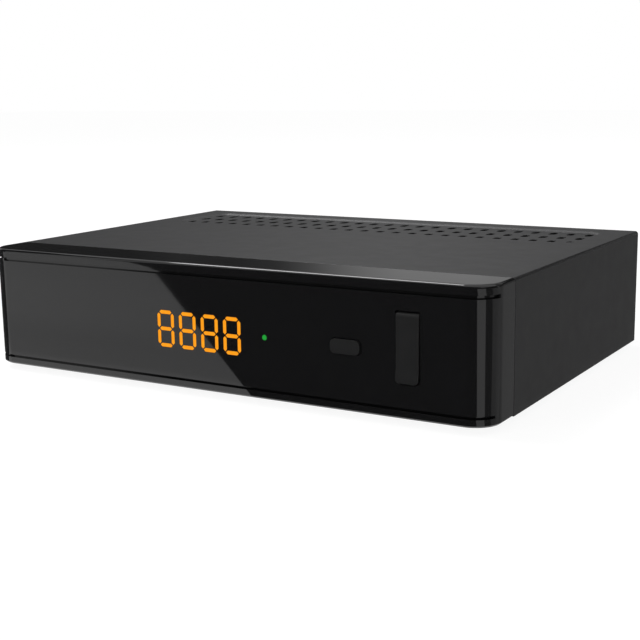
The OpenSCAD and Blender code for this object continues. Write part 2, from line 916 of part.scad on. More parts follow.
// The cover's cross-section: a sheet folded to a wide U, open at the bottom.
function cover_section() = concat(
    [[-half_w, 0]],
    arc(-half_w + edge_r, body_h - edge_r, edge_r, 180, 90, 8),
    arc(half_w - edge_r, body_h - edge_r, edge_r, 90, 0, 8),
    [[half_w, 0], [half_w - sheet, 0], [half_w - sheet, cover_under],
     [-half_w + sheet, cover_under], [-half_w + sheet, 0]]
);

function strip_ring(inset, z) =
    raise(round_rect(strip_w - 2 * inset, strip_l - 2 * inset, strip_r - inset), z);

// The pressed strip as a solid: its floor is inset by the slope of its walls.
module strip_form(top_z, depth) {
    translate([0, strip_y, 0])
        loft([strip_ring(strip_slope, top_z - depth), strip_ring(0, top_z),
              strip_ring(0, top_z + eps)]);
}

module vent_slots() {
    rows_l = (vent_rows - 1) * vent_row_pitch;
    for (i = [0 : vent_columns - 1])
        for (j = [0 : vent_rows - 1])
            translate([(i - (vent_columns - 1) / 2) * vent_pitch,
                       strip_y - rows_l / 2 + j * vent_row_pitch, body_h - 4])
                rotate(90) linear_extrude(5) polygon(stadium(vent_l, vent_w, 5));
}

module top_cover() {
    color("#3a3a3c") placed() difference() {
        union() {
            along_y(tray_front, body_d) polygon(cover_section());
            strip_form(cover_under, strip_depth);
            for (x = tab_x)
                block([x - tab_w / 2, tray_back, body_h - tab_h],
                      [x + tab_w / 2, body_d, cover_under + eps]);
        }
        strip_form(body_h, strip_depth);
        vent_slots();
        for (x = tab_x)
            rod_y(screw_r + 0.3, tray_back - 1, body_d + 1, x, body_h - tab_drop);
    }
}

module cover_screws() {
    color("#222224") placed()
        for (x = tab_x)
            screw_y(screw_r, screw_head_r, screw_head_h, body_d, screw_grip, x,
                    body_h - tab_drop);
}

// The cut-outs in the rear panel, each a clearance larger than its socket.
module rear_cuts() {
    for (x = [lnb_in_x, lnb_out_x])
        rod_y(lnb_r + lnb_hole, wall_inner - 1, tray_back + 1, x, lnb_z);
    along_y(wall_inner - 1, tray_back + 1) translate([hdmi_x, hdmi_z])
        polygon(d_outline(hdmi_w + 2 * hdmi_clear, hdmi_h + 2 * hdmi_clear, 1.2));
    along_y(wall_inner - 1, tray_back + 1) translate([scart_x, scart_z])
        polygon(d_outline(scart_w + 2 * scart_clear, scart_h + 2 * scart_clear, scart_skew));
    rod_y(coax_collar_r + coax_clear, wall_inner - 1, tray_back + 1, coax_x, coax_z);
    rod_y(power_nose_r + coax_clear, wall_inner - 1, tray_back + 1, power_x, power_z);
    for (x = tab_x)
        rod_y(screw_r + screw_clear, wall_inner - 1, tray_back + 1, x, body_h - tab_drop);
}

// Air slots in the floor, in two banks.
module floor_slots() {
    for (bank = [-1, 1])
        for (i = [0 : floor_slot_count - 1])
            translate([bank * floor_bank_x + (i - (floor_slot_count - 1) / 2) * floor_slot_pitch,
                       tray_back - floor_slot_back, -1])
                rotate(90) linear_extrude(sheet + 2)
                    polygon(stadium(floor_slot_l, floor_slot_w, 5));
}

// The tray's cross-section: a sheet folded to a low U with rounded bends.
function tray_section() = concat(
    [[-tray_half, flange_h]],
    arc(-tray_half + bend_r, bend_r, bend_r, 180, 270, 6),
    arc(tray_half - bend_r, bend_r, bend_r, 270, 360, 6),
    [[tray_half, flange_h], [tray_half - sheet, flange_h]],
    arc(tray_half - bend_r, bend_r, bend_r - sheet, 360, 270, 6),
    arc(-tray_half + bend_r, bend_r, bend_r - sheet, 270, 180, 6),
    [[-tray_half + sheet, flange_h]]
);

// The front flange: low in the middle, so that the boards pass, with an ear at each end.
module front_flange() {
    ear_left = joint_post_x - joint_ear;
    ear_top = joint_post_z + joint_ear;
    low_top = board_z - board_under_gap;
    along_y(tray_front, tray_front + sheet)
        polygon(concat(
            arc(-tray_half + bend_r, bend_r, bend_r, 180, 270, 6),
            arc(tray_half - bend_r, bend_r, bend_r, 270, 360, 6),
            arc(tray_half - bend_r, ear_top - bend_r, bend_r, 0, 90, 6),
            [[ear_left, ear_top], [ear_left, low_top],
             [-ear_left, low_top], [-ear_left, ear_top]],
            arc(-tray_half + bend_r, ear_top - bend_r, bend_r, 90, 180, 6)
        ));
}

// Two shallow beads pressed up into the floor, across the case, which stiffen it.
module floor_beads(grow, low, high) {
    bead_w = 5;
    bead_l = body_w - 2 * bead_inset;
    for (y = [tray_front + bead_front, tray_back - bead_back])
        translate([0, y, low])
            linear_extrude(high - low) polygon(stadium(bead_l + grow, bead_w + grow, 6));
}

module chassis_tray() {
    color("#4a4b4e") placed() difference() {
        union() {
            along_y(tray_front, tray_back) polygon(tray_section());
            front_flange();
            floor_beads(2 * sheet, sheet - eps, sheet + bead_h);
        }
        floor_beads(0, -1, bead_h);
        for (p = stand_points)
            translate([p[0], p[1], -1]) cylinder(r = rivet_r + rivet_fit, h = sheet + 2);
        for (side = [-1, 1])
            rod_y(joint_pilot_r + 0.3, tray_front - 1, tray_front + sheet + 1,
                  side * joint_post_x, joint_post_z);
        floor_slots();
    }
}

// The rear panel: a flat wall, a foot that lies on the tray's floor and two side wings.
module rear_panel() {
    side = tray_half - sheet - cover_gap;
    top = cover_under - cover_gap;
    color("#4a4b4e") placed() difference() {
        union() {
            block([-side, wall_inner, sheet], [side, tray_back, top]);
            block([-side + bend_r, wall_inner - panel_foot, sheet],
                  [side - bend_r, wall_inner + eps, 2 * sheet]);
            for (end = [-side, side - sheet])
                block([end, wall_inner - panel_side, 3 * sheet], [end + sheet, wall_inner + eps, top]);
        }
        rear_cuts();
    }
}

// Standoffs: threaded studs, each with a shoulder on the floor and a riveted end in it.
module standoffs() {
    color("#b9bcc0") placed()
        for (p = stand_points)
            translate([p[0], p[1], 0]) difference() {
                union() {
                    translate([0, 0, sheet]) cylinder(r = standoff_r, h = standoff_h);
                    cylinder(r = rivet_r, h = sheet + eps);
                }
                translate([0, 0, -1]) cylinder(r = screw_r + screw_clear, h = board_z + 2);
            }
}

module rubber_feet() {
    color("#19191a") placed()
        for (x = [-half_w + foot_inset, half_w - foot_inset])
            for (y = [foot_front, body_d - foot_back])
                translate([x, y, -foot_h])
                    rotate_extrude()
                        polygon(concat(
                            [[0, foot_dimple], [foot_r / 2 - foot_dimple, foot_dimple],
                             [foot_r / 2, 0]],
                            arc(foot_r - foot_taper - foot_round, foot_round, foot_round,
                                270, 350, 5),
                            [[foot_r, foot_h], [0, foot_h]]
                        ));
}

/* Main board and what it carries */

function board_outline() = [
    [-board_half, board_front], [flap_x - board_nose_left, board_front],
    [flap_x - board_nose_left, board_nose], [flap_x + board_nose_right, board_nose],
    [flap_x + board_nose_right, board_front], [board_half, board_front],
    [board_half, board_back], [-board_half, board_back]
];

module main_board() {
    color("#1f5a33") placed() difference() {
        translate([0, 0, board_z]) linear_extrude(board_t) polygon(board_outline());
        for (p = stand_points)
            translate([p[0], p[1], board_z - 1])
                cylinder(r = screw_r + board_hole_clear, h = board_t + 2);
    }
}

module board_screws() {
    color("#c4c6c9") placed()
        for (p = stand_points) {
            translate([p[0], p[1], board_top - board_t - screw_grip])
                cylinder(r = screw_r, h = board_t + screw_grip + eps);
            translate([p[0], p[1], board_top]) cylinder(r = screw_head_r, h = screw_head_h);
        }
}

// Tuner can: four folded walls and a screen across the middle.
module tuner_can() {
    half = can_w / 2;
    front = can_back - can_l;
    color("#a9acb0") placed() difference() {
        union() {
            difference() {
                block([can_x - half, front, board_top], [can_x + half, can_back, board_top + can_h]);
                block([can_x - half + can_wall, front + can_wall, board_top - 1],
                      [can_x + half - can_wall, can_back - can_wall, board_top + can_h + 1]);
            }
            block([can_x - half + can_wall - eps, front + can_screen, board_top],
                  [can_x + half - can_wall + eps, front + can_screen + can_wall,
                   board_top + can_h]);
        }
        for (x = [lnb_in_x, lnb_out_x])
            rod_y(lnb_bore_r, can_back - 2, can_back + 1, x, lnb_z);
    }
}

module tuner_lid() {
    half = can_w / 2;
    front = can_back - can_l;
    top = board_top + can_h;
    color("#b6b9bd") placed() difference() {
        union() {
            block([can_x - half - can_wall, front - can_wall, top],
                  [can_x + half + can_wall, can_back, top + can_wall]);
            for (x = [can_x - half - can_wall - lid_tab_gap, can_x + half + lid_tab_gap],
                 y = [front + lid_tab_front, can_back - lid_tab_front - lid_tab_l])
                block([x, y, top - lid_tab_h], [x + can_wall, y + lid_tab_l, top + can_wall]);
        }
        for (i = [0 : lid_hole_count - 1])
            translate([can_x + (i - (lid_hole_count - 1) / 2) * lid_hole_pitch,
                       front + lid_hole_front, top - 1])
                cylinder(r = lid_hole_r, h = can_wall + 2);
    }
}

// Threaded barrels: a flange against the can, the thread, and a relief beyond the nut.
module lnb_barrels() {
    nut_end = tray_back + nut_t;
    color("#c9cbce") placed()
        for (x = [lnb_in_x, lnb_out_x])
            difference() {
                union() {
                    rod_y(lnb_flange_r, can_back, wall_inner, x, lnb_z);
                    rod_y(lnb_r, wall_inner - eps, nut_end + 0.1, x, lnb_z);
                    rod_y(lnb_r - relief_depth, nut_end, nut_end + relief_w, x, lnb_z);
                    rod_y(lnb_r, nut_end + relief_w - 0.05, lnb_tip, x, lnb_z);
                }
                rod_y(lnb_bore_r, can_back - 1, lnb_tip + 1, x, lnb_z);
            }
}

module lnb_nuts() {
    color("#d3d0c4") placed()
        for (x = [lnb_in_x, lnb_out_x])
            difference() {
                translate([x, tray_back + nut_t, lnb_z]) rotate([90, 0, 0])
                    cylinder(d = nut_af / cos(30), h = nut_t, $fn = 6);
                rod_y(lnb_r + nut_clear, tray_back - 1, tray_back + nut_t + 1, x, lnb_z);
            }
}

module lnb_insulators() {
    color("#f1efe8") placed()
        for (x = [lnb_in_x, lnb_out_x])
            difference() {
                rod_y(lnb_bore_r - 0.03, can_back + 0.5, lnb_tip - 0.9, x, lnb_z);
                rod_y(0.6, lnb_tip - 8, lnb_tip, x, lnb_z);
            }
}

module hdmi_shell() {
    front = tray_back + hdmi_out - hdmi_len;
    color("#b9bcc0") placed() translate([hdmi_x, 0, hdmi_z]) difference() {
        along_y(front, tray_back + hdmi_out) polygon(hdmi_outline(hdmi_w, hdmi_h));
        along_y(front + hdmi_wall, tray_back + hdmi_out + 1)
            polygon(hdmi_outline(hdmi_w - 2 * hdmi_wall, hdmi_h - 2 * hdmi_wall));
    }
}

module hdmi_tongue() {
    back = tray_back + hdmi_out - hdmi_len + hdmi_wall;
    inner_gap = 2 * hdmi_wall + 0.1;
    color("#151515") placed() translate([hdmi_x, 0, hdmi_z]) {
        block([-hdmi_tongue_w / 2, back, hdmi_tongue_z],
              [hdmi_tongue_w / 2, tray_back - 1, hdmi_tongue_z + hdmi_tongue_t]);
        along_y(back, back + hdmi_block_l)
            polygon(hdmi_outline(hdmi_w - inner_gap, hdmi_h - inner_gap));
    }
}

// Multi-pin socket: a D-shaped block with a groove for the plug's skirt and two rows of slots.
module scart_socket() {
    front = tray_back - scart_len;
    inner_w = scart_w - 2 * scart_rim;
    inner_h = scart_h - 2 * scart_rim;
    color("#161617") placed() translate([scart_x, 0, scart_z]) difference() {
        along_y(front, tray_back) polygon(d_outline(scart_w, scart_h, scart_skew));
        along_y(tray_back - scart_depth, tray_back + 1) difference() {
            polygon(d_outline(inner_w, inner_h, scart_skew));
            polygon(d_outline(inner_w - 2 * scart_groove, inner_h - 2 * scart_groove, scart_skew));
        }
        for (i = [0 : scart_slot_count - 1], row = [-1, 1])
            translate([(i - (scart_slot_count - 1) / 2 + row / 4) * scart_slot_pitch, 0,
                       row * scart_row])
                block([-scart_slot_w / 2, tray_back - scart_slot_depth, -scart_slot_h / 2],
                      [scart_slot_w / 2, tray_back + 1, scart_slot_h / 2]);
    }
}

module coax_body() {
    half = coax_block / 2;
    color("#161617") placed() difference() {
        union() {
            block([coax_x - half, wall_inner - coax_block_l, board_top],
                  [coax_x + half, wall_inner, coax_z + half]);
            rod_y(coax_collar_r, wall_inner - eps, coax_collar_y, coax_x, coax_z);
        }
        rod_y(coax_root_r + coax_fit, wall_inner - coax_root, tray_back + 2, coax_x, coax_z);
    }
}

// The barrel's root, inside its block, is a little thinner than the part that stands out.
module coax_barrel() {
    color("#c9cbce") placed() difference() {
        union() {
            rod_y(coax_root_r, wall_inner - coax_root, coax_collar_y + eps, coax_x, coax_z);
            rod_y(coax_r, coax_collar_y, body_d + coax_reach, coax_x, coax_z);
        }
        rod_y(coax_root_r - coax_root_step, wall_inner - coax_root - 1, coax_collar_y + 2,
              coax_x, coax_z);
        rod_y(coax_r - coax_tube, coax_collar_y + coax_tube, body_d + coax_reach + 1,
              coax_x, coax_z);
    }
}

module coax_insulator() {
    tip = body_d + coax_reach;
    color("#e07a1f") placed() difference() {
        union() {
            rod_y(coax_root_r - coax_root_step - coax_fit, wall_inner - coax_root,
                  coax_collar_y + coax_tube + 2 * coax_fit, coax_x, coax_z);
            rod_y(coax_r - coax_tube - coax_fit, coax_collar_y + coax_tube + coax_fit,
                  tip - 0.5, coax_x, coax_z);
        }
        rod_y(coax_hole_r, tip - coax_hole_l, tip, coax_x, coax_z);
    }
}

module power_socket() {
    half = power_block / 2;
    mouth = body_d + power_out;
    color("#161617") placed() difference() {
        union() {
            block([power_x - half, wall_inner - power_block_l, board_top],
                  [power_x + half, wall_inner, power_z + half]);
            rod_y(power_nose_r, wall_inner - eps, mouth, power_x, power_z);
        }
        rod_y(power_bore_r, mouth - power_depth, mouth + 1, power_x, power_z);
    }
}

module power_pin() {
    mouth = body_d + power_out;
    color("#c9cbce") placed()
        rod_y(power_pin_r, mouth - power_depth, mouth - power_pin_drop, power_x, power_z);
}

module processor() {
    color("#1a1a1c") placed()
        translate([chip_x - chip_size / 2, chip_y - chip_size / 2, board_top])
            cube([chip_size, chip_size, chip_h]);
}

// Heatsink: a base with a comb of thin fins, the outer ones shorter.
module heatsink() {
    low = board_top + chip_h;
    fin_pitch = (sink_size - fin_t) / (fin_count - 1);
    color("#2c2c2f") placed() translate([chip_x, chip_y, low]) {
        translate([-sink_size / 2, -sink_size / 2, 0]) cube([sink_size, sink_size, sink_base]);
        for (i = [0 : fin_count - 1])
            translate([-sink_size / 2 + i * fin_pitch, -sink_size / 2, sink_base - eps])
                cube([fin_t, sink_size,
                      sink_h - sink_base - (i == 0 || i == fin_count - 1 ? outer_fin_drop : 0)]);
    }
}

module chip(x, y, w, l, h) {
    translate([x - w / 2, y - l / 2, board_top]) cube([w, l, h]);
}

module memory_chips() {
    color("#1a1a1c") placed() {
        for (side = [-1, 1])
            chip(chip_x - memory_gap, chip_y + side * memory_shift, memory_w, memory_l, memory_h);
        chip(chip_x, chip_y - sink_size / 2 - flash_l - grid, flash_w, flash_l, flash_h);
    }
}

module power_chips() {
    color("#1f1f22") placed() {
        for (row = [23, 30])
            chip(-board_half + 13 * grid, board_front + row * grid,
                 power_chip_w, power_chip_l, power_chip_h);
        chip(can_x - 4 * grid, board_front + 7 * grid, power_chip_w, power_chip_l, power_chip_h);
    }
}

// A capacitor can, crimped near its foot.
module capacitor(r, h) {
    difference() {
        cylinder(r = r, h = h);
        translate([0, 0, sleeve_groove_z]) difference() {
            cylinder(r = r + 1, h = sleeve_groove);
            translate([0, 0, -1]) cylinder(r = r - sleeve_t, h = sleeve_groove + 2);
        }
    }
}

// The supply's capacitors stand along the left edge, and the tuner's near the right one.
module capacitors() {
    supply = [[7, 35, large_can], [14, 37, medium_can], [7, 28, medium_can], [7, 21, small_can]];
    tuner = [[17, 10, small_can], [13, 13, small_can]];
    color("#22242b") placed() {
        for (c = supply)
            translate([-board_half + c[0] * grid, board_front + c[1] * grid, board_top])
                capacitor(c[2][0], c[2][1]);
        for (c = tuner)
            translate([board_half - c[0] * grid, board_front + c[1] * grid, board_top])
                capacitor(c[2][0], c[2][1]);
    }
}

// A choke: a square base with a round coil.
module inductor() {
    translate([-coil_base / 2, -coil_base / 2, 0]) cube([coil_base, coil_base, coil_base_h]);
    translate([0, 0, coil_base_h - eps]) cylinder(r = coil_r, h = coil_h);
}

module inductors() {
    color("#4d4f54") placed() {
        for (row = [23, 30])
            translate([-board_half + 19 * grid, board_front + row * grid, board_top]) inductor();
        translate([board_half - 23 * grid, board_front + 7 * grid, board_top]) inductor();
    }
}

module crystal() {
    color("#c4c6c9") placed()
        translate([chip_x + 6 * grid, chip_y - sink_size / 2 - crystal_l - 2 * grid, board_top])
            linear_extrude(crystal_h) polygon(stadium(crystal_w, crystal_l));
}

front_fascia();
display_segments();
display_module();
light_pipe();
status_led();
remote_sensor();
standby_button();
tact_switch();
tact_plunger();
usb_flap();
usb_shell();
usb_insulator();
front_board();
front_board_screws();
board_header();
fascia_screws();
top_cover();
cover_screws();
chassis_tray();
rear_panel();
standoffs();
rubber_feet();
main_board();
board_screws();
tuner_can();
tuner_lid();
lnb_barrels();
lnb_nuts();
lnb_insulators();
hdmi_shell();
hdmi_tongue();
scart_socket();
coax_body();
coax_barrel();
coax_insulator();
power_socket();
power_pin();
processor();
heatsink();
memory_chips();
power_chips();
capacitors();
inductors();
crystal();
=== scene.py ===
"""The looks of a satellite receiver: finishes, small parts, camera, floor and light.

Lengths are in metres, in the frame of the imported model: x to the right of someone who faces
the front, y to the back, z up, and the origin on the floor under the receiver's middle.
"""
import json
import math
import random

import bmesh
import bpy
from mathutils import Matrix, Vector


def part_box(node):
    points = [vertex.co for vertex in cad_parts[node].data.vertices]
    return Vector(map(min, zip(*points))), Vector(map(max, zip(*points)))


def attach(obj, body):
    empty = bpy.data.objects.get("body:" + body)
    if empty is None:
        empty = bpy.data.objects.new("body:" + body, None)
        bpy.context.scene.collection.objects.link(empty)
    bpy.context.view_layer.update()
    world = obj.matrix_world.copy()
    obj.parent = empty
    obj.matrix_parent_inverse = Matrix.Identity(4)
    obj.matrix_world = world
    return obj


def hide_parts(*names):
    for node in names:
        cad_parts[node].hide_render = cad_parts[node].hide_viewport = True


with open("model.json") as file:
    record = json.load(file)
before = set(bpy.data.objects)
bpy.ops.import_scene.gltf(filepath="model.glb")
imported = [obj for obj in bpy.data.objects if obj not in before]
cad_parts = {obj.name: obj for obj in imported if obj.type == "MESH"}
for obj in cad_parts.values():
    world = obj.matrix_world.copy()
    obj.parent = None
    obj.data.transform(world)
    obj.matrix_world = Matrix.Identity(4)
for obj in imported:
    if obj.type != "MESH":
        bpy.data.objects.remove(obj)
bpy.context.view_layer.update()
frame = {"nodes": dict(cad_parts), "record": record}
nodes = frame["nodes"]

MM = 0.001
scene = bpy.context.scene
scene.view_settings.view_transform = "Standard"


# ---------------------------------------------------------------- material nodes

class Finish:
    """A material on one Principled shader, with short calls for the nodes that feed it."""

    def __init__(self, name, color, roughness, **sockets):
        self.material = bpy.data.materials.new(name)
        self.material.use_nodes = True
        self.tree = self.material.node_tree
        self.surface = self.tree.nodes["Principled BSDF"]
        self.place = self.node("ShaderNodeTexCoord").outputs["Object"]
        self.set("Base Color", (*color, 1))
        self.set("Roughness", roughness)
        for socket, value in sockets.items():
            self.set(socket.replace("_", " "), value)

    def feed(self, socket, value):
        if isinstance(value, bpy.types.NodeSocket):
            self.tree.links.new(value, socket)
        else:
            socket.default_value = value

    def set(self, socket, value):
        self.feed(self.surface.inputs[socket], value)

    def node(self, kind, inputs=None, **settings):
        made = self.tree.nodes.new(kind)
        for key, value in settings.items():
            setattr(made, key, value)
        for key, value in (inputs or {}).items():
            self.feed(made.inputs[key], value)
        return made

    def stretched(self, along):
        """The place on the piece, scaled by along on each axis."""
        return self.node("ShaderNodeMapping", {"Vector": self.place, "Scale": along}).outputs[0]

    def noise(self, size, detail, rough=0.55, along=(1, 1, 1)):
        """Soft noise whose blotches are about size across."""
        return self.node("ShaderNodeTexNoise", {
            "Vector": self.stretched(along), "Scale": 1 / size, "Detail": detail,
            "Roughness": rough}).outputs["Fac"]

    def cells(self, size, feature="F1", along=(1, 1, 1)):
        """Distance to the nearest point of a scatter about size apart, or to its cells' edges."""
        return self.node("ShaderNodeTexVoronoi", {
            "Vector": self.stretched(along), "Scale": 1 / size}, feature=feature).outputs[0]

    def ramp(self, value, low, high, to_low=0.0, to_high=1.0):
        """Maps low..high to to_low..to_high, and stops there."""
        return self.node("ShaderNodeMapRange", {
            "Value": value, "From Min": low, "From Max": high,
            "To Min": to_low, "To Max": to_high}).outputs[0]

    def facing(self, axis):
        """How far the surface faces along an axis of the piece, from -1 to 1."""
        normal = self.node("ShaderNodeTexCoord").outputs["Normal"]
        return self.node("ShaderNodeSeparateXYZ", {0: normal}).outputs[axis]

    def within(self, box):
        """1 inside a box of the piece, given by two corners in x and y, and 0 outside it."""
        low, high = box
        place = self.node("ShaderNodeSeparateXYZ", {0: self.place}).outputs
        share = 1.0
        for axis in range(2):
            for operation, bound in (("GREATER_THAN", low[axis]), ("LESS_THAN", high[axis])):
                share = self.math("MULTIPLY", share, self.math(operation, place[axis], bound))
        return share

    def math(self, operation, a, b=0.0, c=0.0):
        return self.node("ShaderNodeMath", {0: a, 1: b, 2: c}, operation=operation).outputs[0]

    def between(self, value, rise, fall):
        """1 between two spans of value, 0 outside them, and a slope along each."""
        return self.math("MULTIPLY", self.ramp(value, *rise), self.ramp(value, *fall, 1, 0))

    def mix(self, share, first, second):
        """A colour between two colours, each a triple or a socket."""
        made = self.node("ShaderNodeMix", {"Factor": share}, data_type="RGBA")
        ends = [socket for socket in made.inputs if socket.type == "RGBA"]
        for socket, value in zip(ends, (first, second)):
            self.feed(socket, value if isinstance(value, bpy.types.NodeSocket) else (*value, 1))
        return [socket for socket in made.outputs if socket.type == "RGBA"][0]

    def bump(self, height, depth, strength):
        """Raises the surface by height times depth, on top of the bumps that it already has."""
        made = self.node("ShaderNodeBump", {
            "Height": height, "Distance": depth, "Strength": strength})
        normal = self.surface.inputs["Normal"]
        if normal.is_linked:
            self.tree.links.new(normal.links[0].from_socket, made.inputs["Normal"])
        self.tree.links.new(made.outputs["Normal"], normal)


def shaded(color, share):
    return tuple(channel * share for channel in color)


# ---------------------------------------------------------------- finishes

def gloss_front():
    """Polished black moulding: deep black, faint hairlines and a few specks of dust."""
    black, dust_color = (0.0065, 0.0065, 0.007), (0.02, 0.02, 0.02)
    polish, rub = 0.04, 0.04
    made = Finish("gloss_front", black, 0.05)
    hairlines = made.ramp(made.noise(0.5 * MM, 2, 0.5, (0.06, 1, 1)), 0.56, 0.72)
    patches = made.ramp(made.noise(30 * MM, 3), 0.35, 0.7)
    rubbed = made.math("MULTIPLY", hairlines, patches)
    made.set("Roughness", made.math("MULTIPLY_ADD", rubbed, rub, polish))
    specks = made.ramp(made.cells(2.6 * MM), 0.02, 0.045, 1, 0)
    rare = made.ramp(made.noise(11 * MM, 1), 0.62, 0.7)
    dust = made.math("MULTIPLY", specks, rare)
    made.set("Base Color", made.mix(dust, black, dust_color))
    made.bump(made.noise(25 * MM, 1), 0.003 * MM, 0.5)
    return made


def case_paint(name="case_paint", vents=None):
    """Powder coat on steel: a fine even grain, a little uneven in tone and gloss.

    With vents, a box round the pressed strip of slots, the walls and edges of the slots are
    painted near black as shade and made dull, the strip's slopes are painted lighter as a
    highlight and made smoother, and the bends outside the box are painted darker as shade and
    drawn smooth.
    """
    grey = (0.0272, 0.0272, 0.0282)
    made = Finish(name, grey, 0.46, Specular_IOR_Level=0.37)
    blotches = made.ramp(made.noise(45 * MM, 4), 0.3, 0.7)
    color = made.mix(blotches, shaded(grey, 0.96), shaded(grey, 1.04))
    roughness = made.ramp(made.noise(6 * MM, 3), 0.3, 0.7, 0.44, 0.48)
    if vents:
        # Walls, slopes and bends are told apart by how far they face up.
        up = made.facing("Z")
        wall = made.ramp(made.math("ABSOLUTE", up), 0.72, 0.76, 1, 0)
        slope = made.between(up, (0.76, 0.8), (0.86, 0.92))
        bend = made.between(up, (0.1, 0.3), (0.9, 0.98))
        inside = made.within(vents)
        outside = made.math("SUBTRACT", 1, inside)
        # Painted shade on the slots' walls and edges, a painted highlight on the strip's slopes,
        # and painted shade along the bends outside the box.
        for part, area, tone, roughening in (
                (wall, inside, 0.06, 0.45), (slope, inside, 2.1, -0.14),
                (bend, outside, 0.6, -0.26)):
            share = made.math("MULTIPLY", part, area)
            color = made.mix(share, color, shaded(grey, tone))
            roughness = made.math("MULTIPLY_ADD", share, roughening, roughness)
    made.set("Base Color", color)
    made.set("Roughness", roughness)
    made.bump(made.noise(0.32 * MM, 2, 0.6), 0.014 * MM, 0.6)
    made.bump(made.noise(2.4 * MM, 2), 0.003 * MM, 0.3)
    return made


def moulded(name, color, roughness, grain=0.18 * MM, depth=0.006 * MM, **sockets):
    """Moulded plastic: an even colour with a fine spark-eroded grain."""
    made = Finish(name, color, roughness, **sockets)
    blotches = made.ramp(made.noise(7 * MM, 3), 0.3, 0.7)
    made.set("Base Color", made.mix(blotches, shaded(color, 0.9), shaded(color, 1.1)))
    pits = made.noise(grain, 2)
    made.set("Roughness", made.ramp(pits, 0.3, 0.7, roughness - 0.04, roughness + 0.05))
    made.bump(pits, depth, 0.6)
    return made


def plated(name, color, roughness, brushed=(1, 1, 1)):
    """Plated or bright metal: a fine grain and slight blooms.

    The grain is drawn out to lines along the axis on which brushed is well under 1.
    """
    made = Finish(name, color, roughness, Metallic=1.0)
    grain = made.noise(0.22 * MM, 2, 0.6, brushed)
    bloom = made.ramp(made.noise(4 * MM, 4), 0.35, 0.75)
    made.set("Base Color", made.mix(bloom, color, shaded(color, 0.82)))
    uneven = made.ramp(grain, 0.3, 0.7, roughness * 0.8, roughness * 1.25)
    made.set("Roughness", made.math("MULTIPLY_ADD", bloom, 0.07, uneven))
    made.bump(grain, 0.004 * MM, 0.5)
    return made


def lit(name, color, deep_color):
    """A lit light guide: light leaves it at its front face and hardly at its flanks."""
    front_glow, flank_glow = 1, 0.06
    made = Finish(name, shaded(color, 0.05), 0.4, Specular_IOR_Level=0.1)
    glow = made.ramp(made.noise(0.9 * MM, 2), 0.3, 0.7)
    made.set("Emission Color", made.mix(glow, color, deep_color))
    made.set("Emission Strength", made.ramp(made.facing("Y"), -0.95, -0.8, front_glow,
                                            flank_glow))
    return made


def circuit_board():
    """Green mask over glass laminate: copper tracks under the mask, and tinned pads in patches."""
    green, copper, tin = (0.012, 0.1, 0.032), (0.02, 0.17, 0.05), (0.62, 0.62, 0.6)
    made = Finish("circuit_board", green, 0.38)
    weave = made.noise(0.5 * MM, 1)
    back_lanes = made.cells(3.2 * MM, "DISTANCE_TO_EDGE", (1, 0.45, 1))
    side_lanes = made.cells(4.1 * MM, "DISTANCE_TO_EDGE", (0.4, 1, 1))
    tracks = made.math("MAXIMUM", made.ramp(back_lanes, 0.05, 0.09, 1, 0),
                       made.ramp(side_lanes, 0.04, 0.08, 1, 0))
    pads = made.math("MULTIPLY", made.ramp(made.cells(2.54 * MM), 0.13, 0.16, 1, 0),
                     made.ramp(made.noise(16 * MM, 1), 0.56, 0.58))
    made.set("Base Color", made.mix(pads, made.mix(tracks, green, copper), tin))
    made.set("Metallic", made.math("MULTIPLY", pads, 0.9))
    made.bump(tracks, 0.035 * MM, 0.8)
    made.bump(weave, 0.004 * MM, 0.4)
    return made


def rubber_foot():
    """Moulded rubber: a pebbled skin with a little grey bloom."""
    clean, bloomed = (0.011, 0.011, 0.011), (0.024, 0.023, 0.022)
    made = Finish("rubber_foot", (0.014, 0.014, 0.014), 0.72)
    bloom = made.ramp(made.noise(3 * MM, 4), 0.3, 0.75)
    made.set("Base Color", made.mix(bloom, clean, bloomed))
    made.bump(made.cells(0.5 * MM), 0.03 * MM, 0.6)
    return made


GOLD = (0.83, 0.62, 0.28)
NICKEL = (0.66, 0.65, 0.62)

FINISHES = {
    "gloss_front": gloss_front(),
    "display_light": lit("display_light", (1.0, 0.38, 0.012), (1.0, 0.31, 0.006)),
    "lamp_light": lit("lamp_light", (0.018, 0.37, 0.045), (0.012, 0.27, 0.03)),
    "satin_button": moulded("satin_button", (0.0165, 0.0165, 0.017), 0.56,
                            Specular_IOR_Level=0.3),
    "case_paint": case_paint(),
    "black_plastic": moulded("black_plastic", (0.014, 0.014, 0.0145), 0.48),
    "pale_plastic": moulded("pale_plastic", (0.72, 0.70, 0.62), 0.42),
    "orange_plastic": moulded("orange_plastic", (0.70, 0.19, 0.02), 0.36),
    "plated_metal": plated("plated_metal", NICKEL, 0.2),
    "tin_plate": plated("tin_plate", (0.55, 0.56, 0.57), 0.36, (1, 0.05, 1)),
    "zinc_screw": plated("zinc_screw", (0.58, 0.6, 0.63), 0.26),
    "black_screw": plated("black_screw", (0.045, 0.045, 0.048), 0.34),
    "circuit_board": circuit_board(),
    "chip_resin": moulded("chip_resin", (0.013, 0.013, 0.014), 0.56, 0.12 * MM, 0.012 * MM),
    "dark_aluminium": plated("dark_aluminium", (0.035, 0.035, 0.038), 0.42, (1, 0.04, 1)),
    "can_sleeve": moulded("can_sleeve", (0.012, 0.016, 0.035), 0.22),
    "ferrite": moulded("ferrite", (0.05, 0.05, 0.055), 0.62, 0.25 * MM, 0.03 * MM),
    "rubber_foot": rubber_foot(),
}
gold_contact = plated("gold_contact", GOLD, 0.2)

# A box round the cover's pressed strip of slots, seen from above.
VENT_WIDTH, VENT_DEPTH, VENT_GAP = 150 * MM, 29.5 * MM, 7.4 * MM
VENT_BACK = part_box("top_cover")[1].y - VENT_GAP
VENT_BOX = ((-VENT_WIDTH / 2, VENT_BACK - VENT_DEPTH), (VENT_WIDTH / 2, VENT_BACK))


def paint(piece, finish):
    piece.data.materials.clear()
    piece.data.materials.append(finish.material)


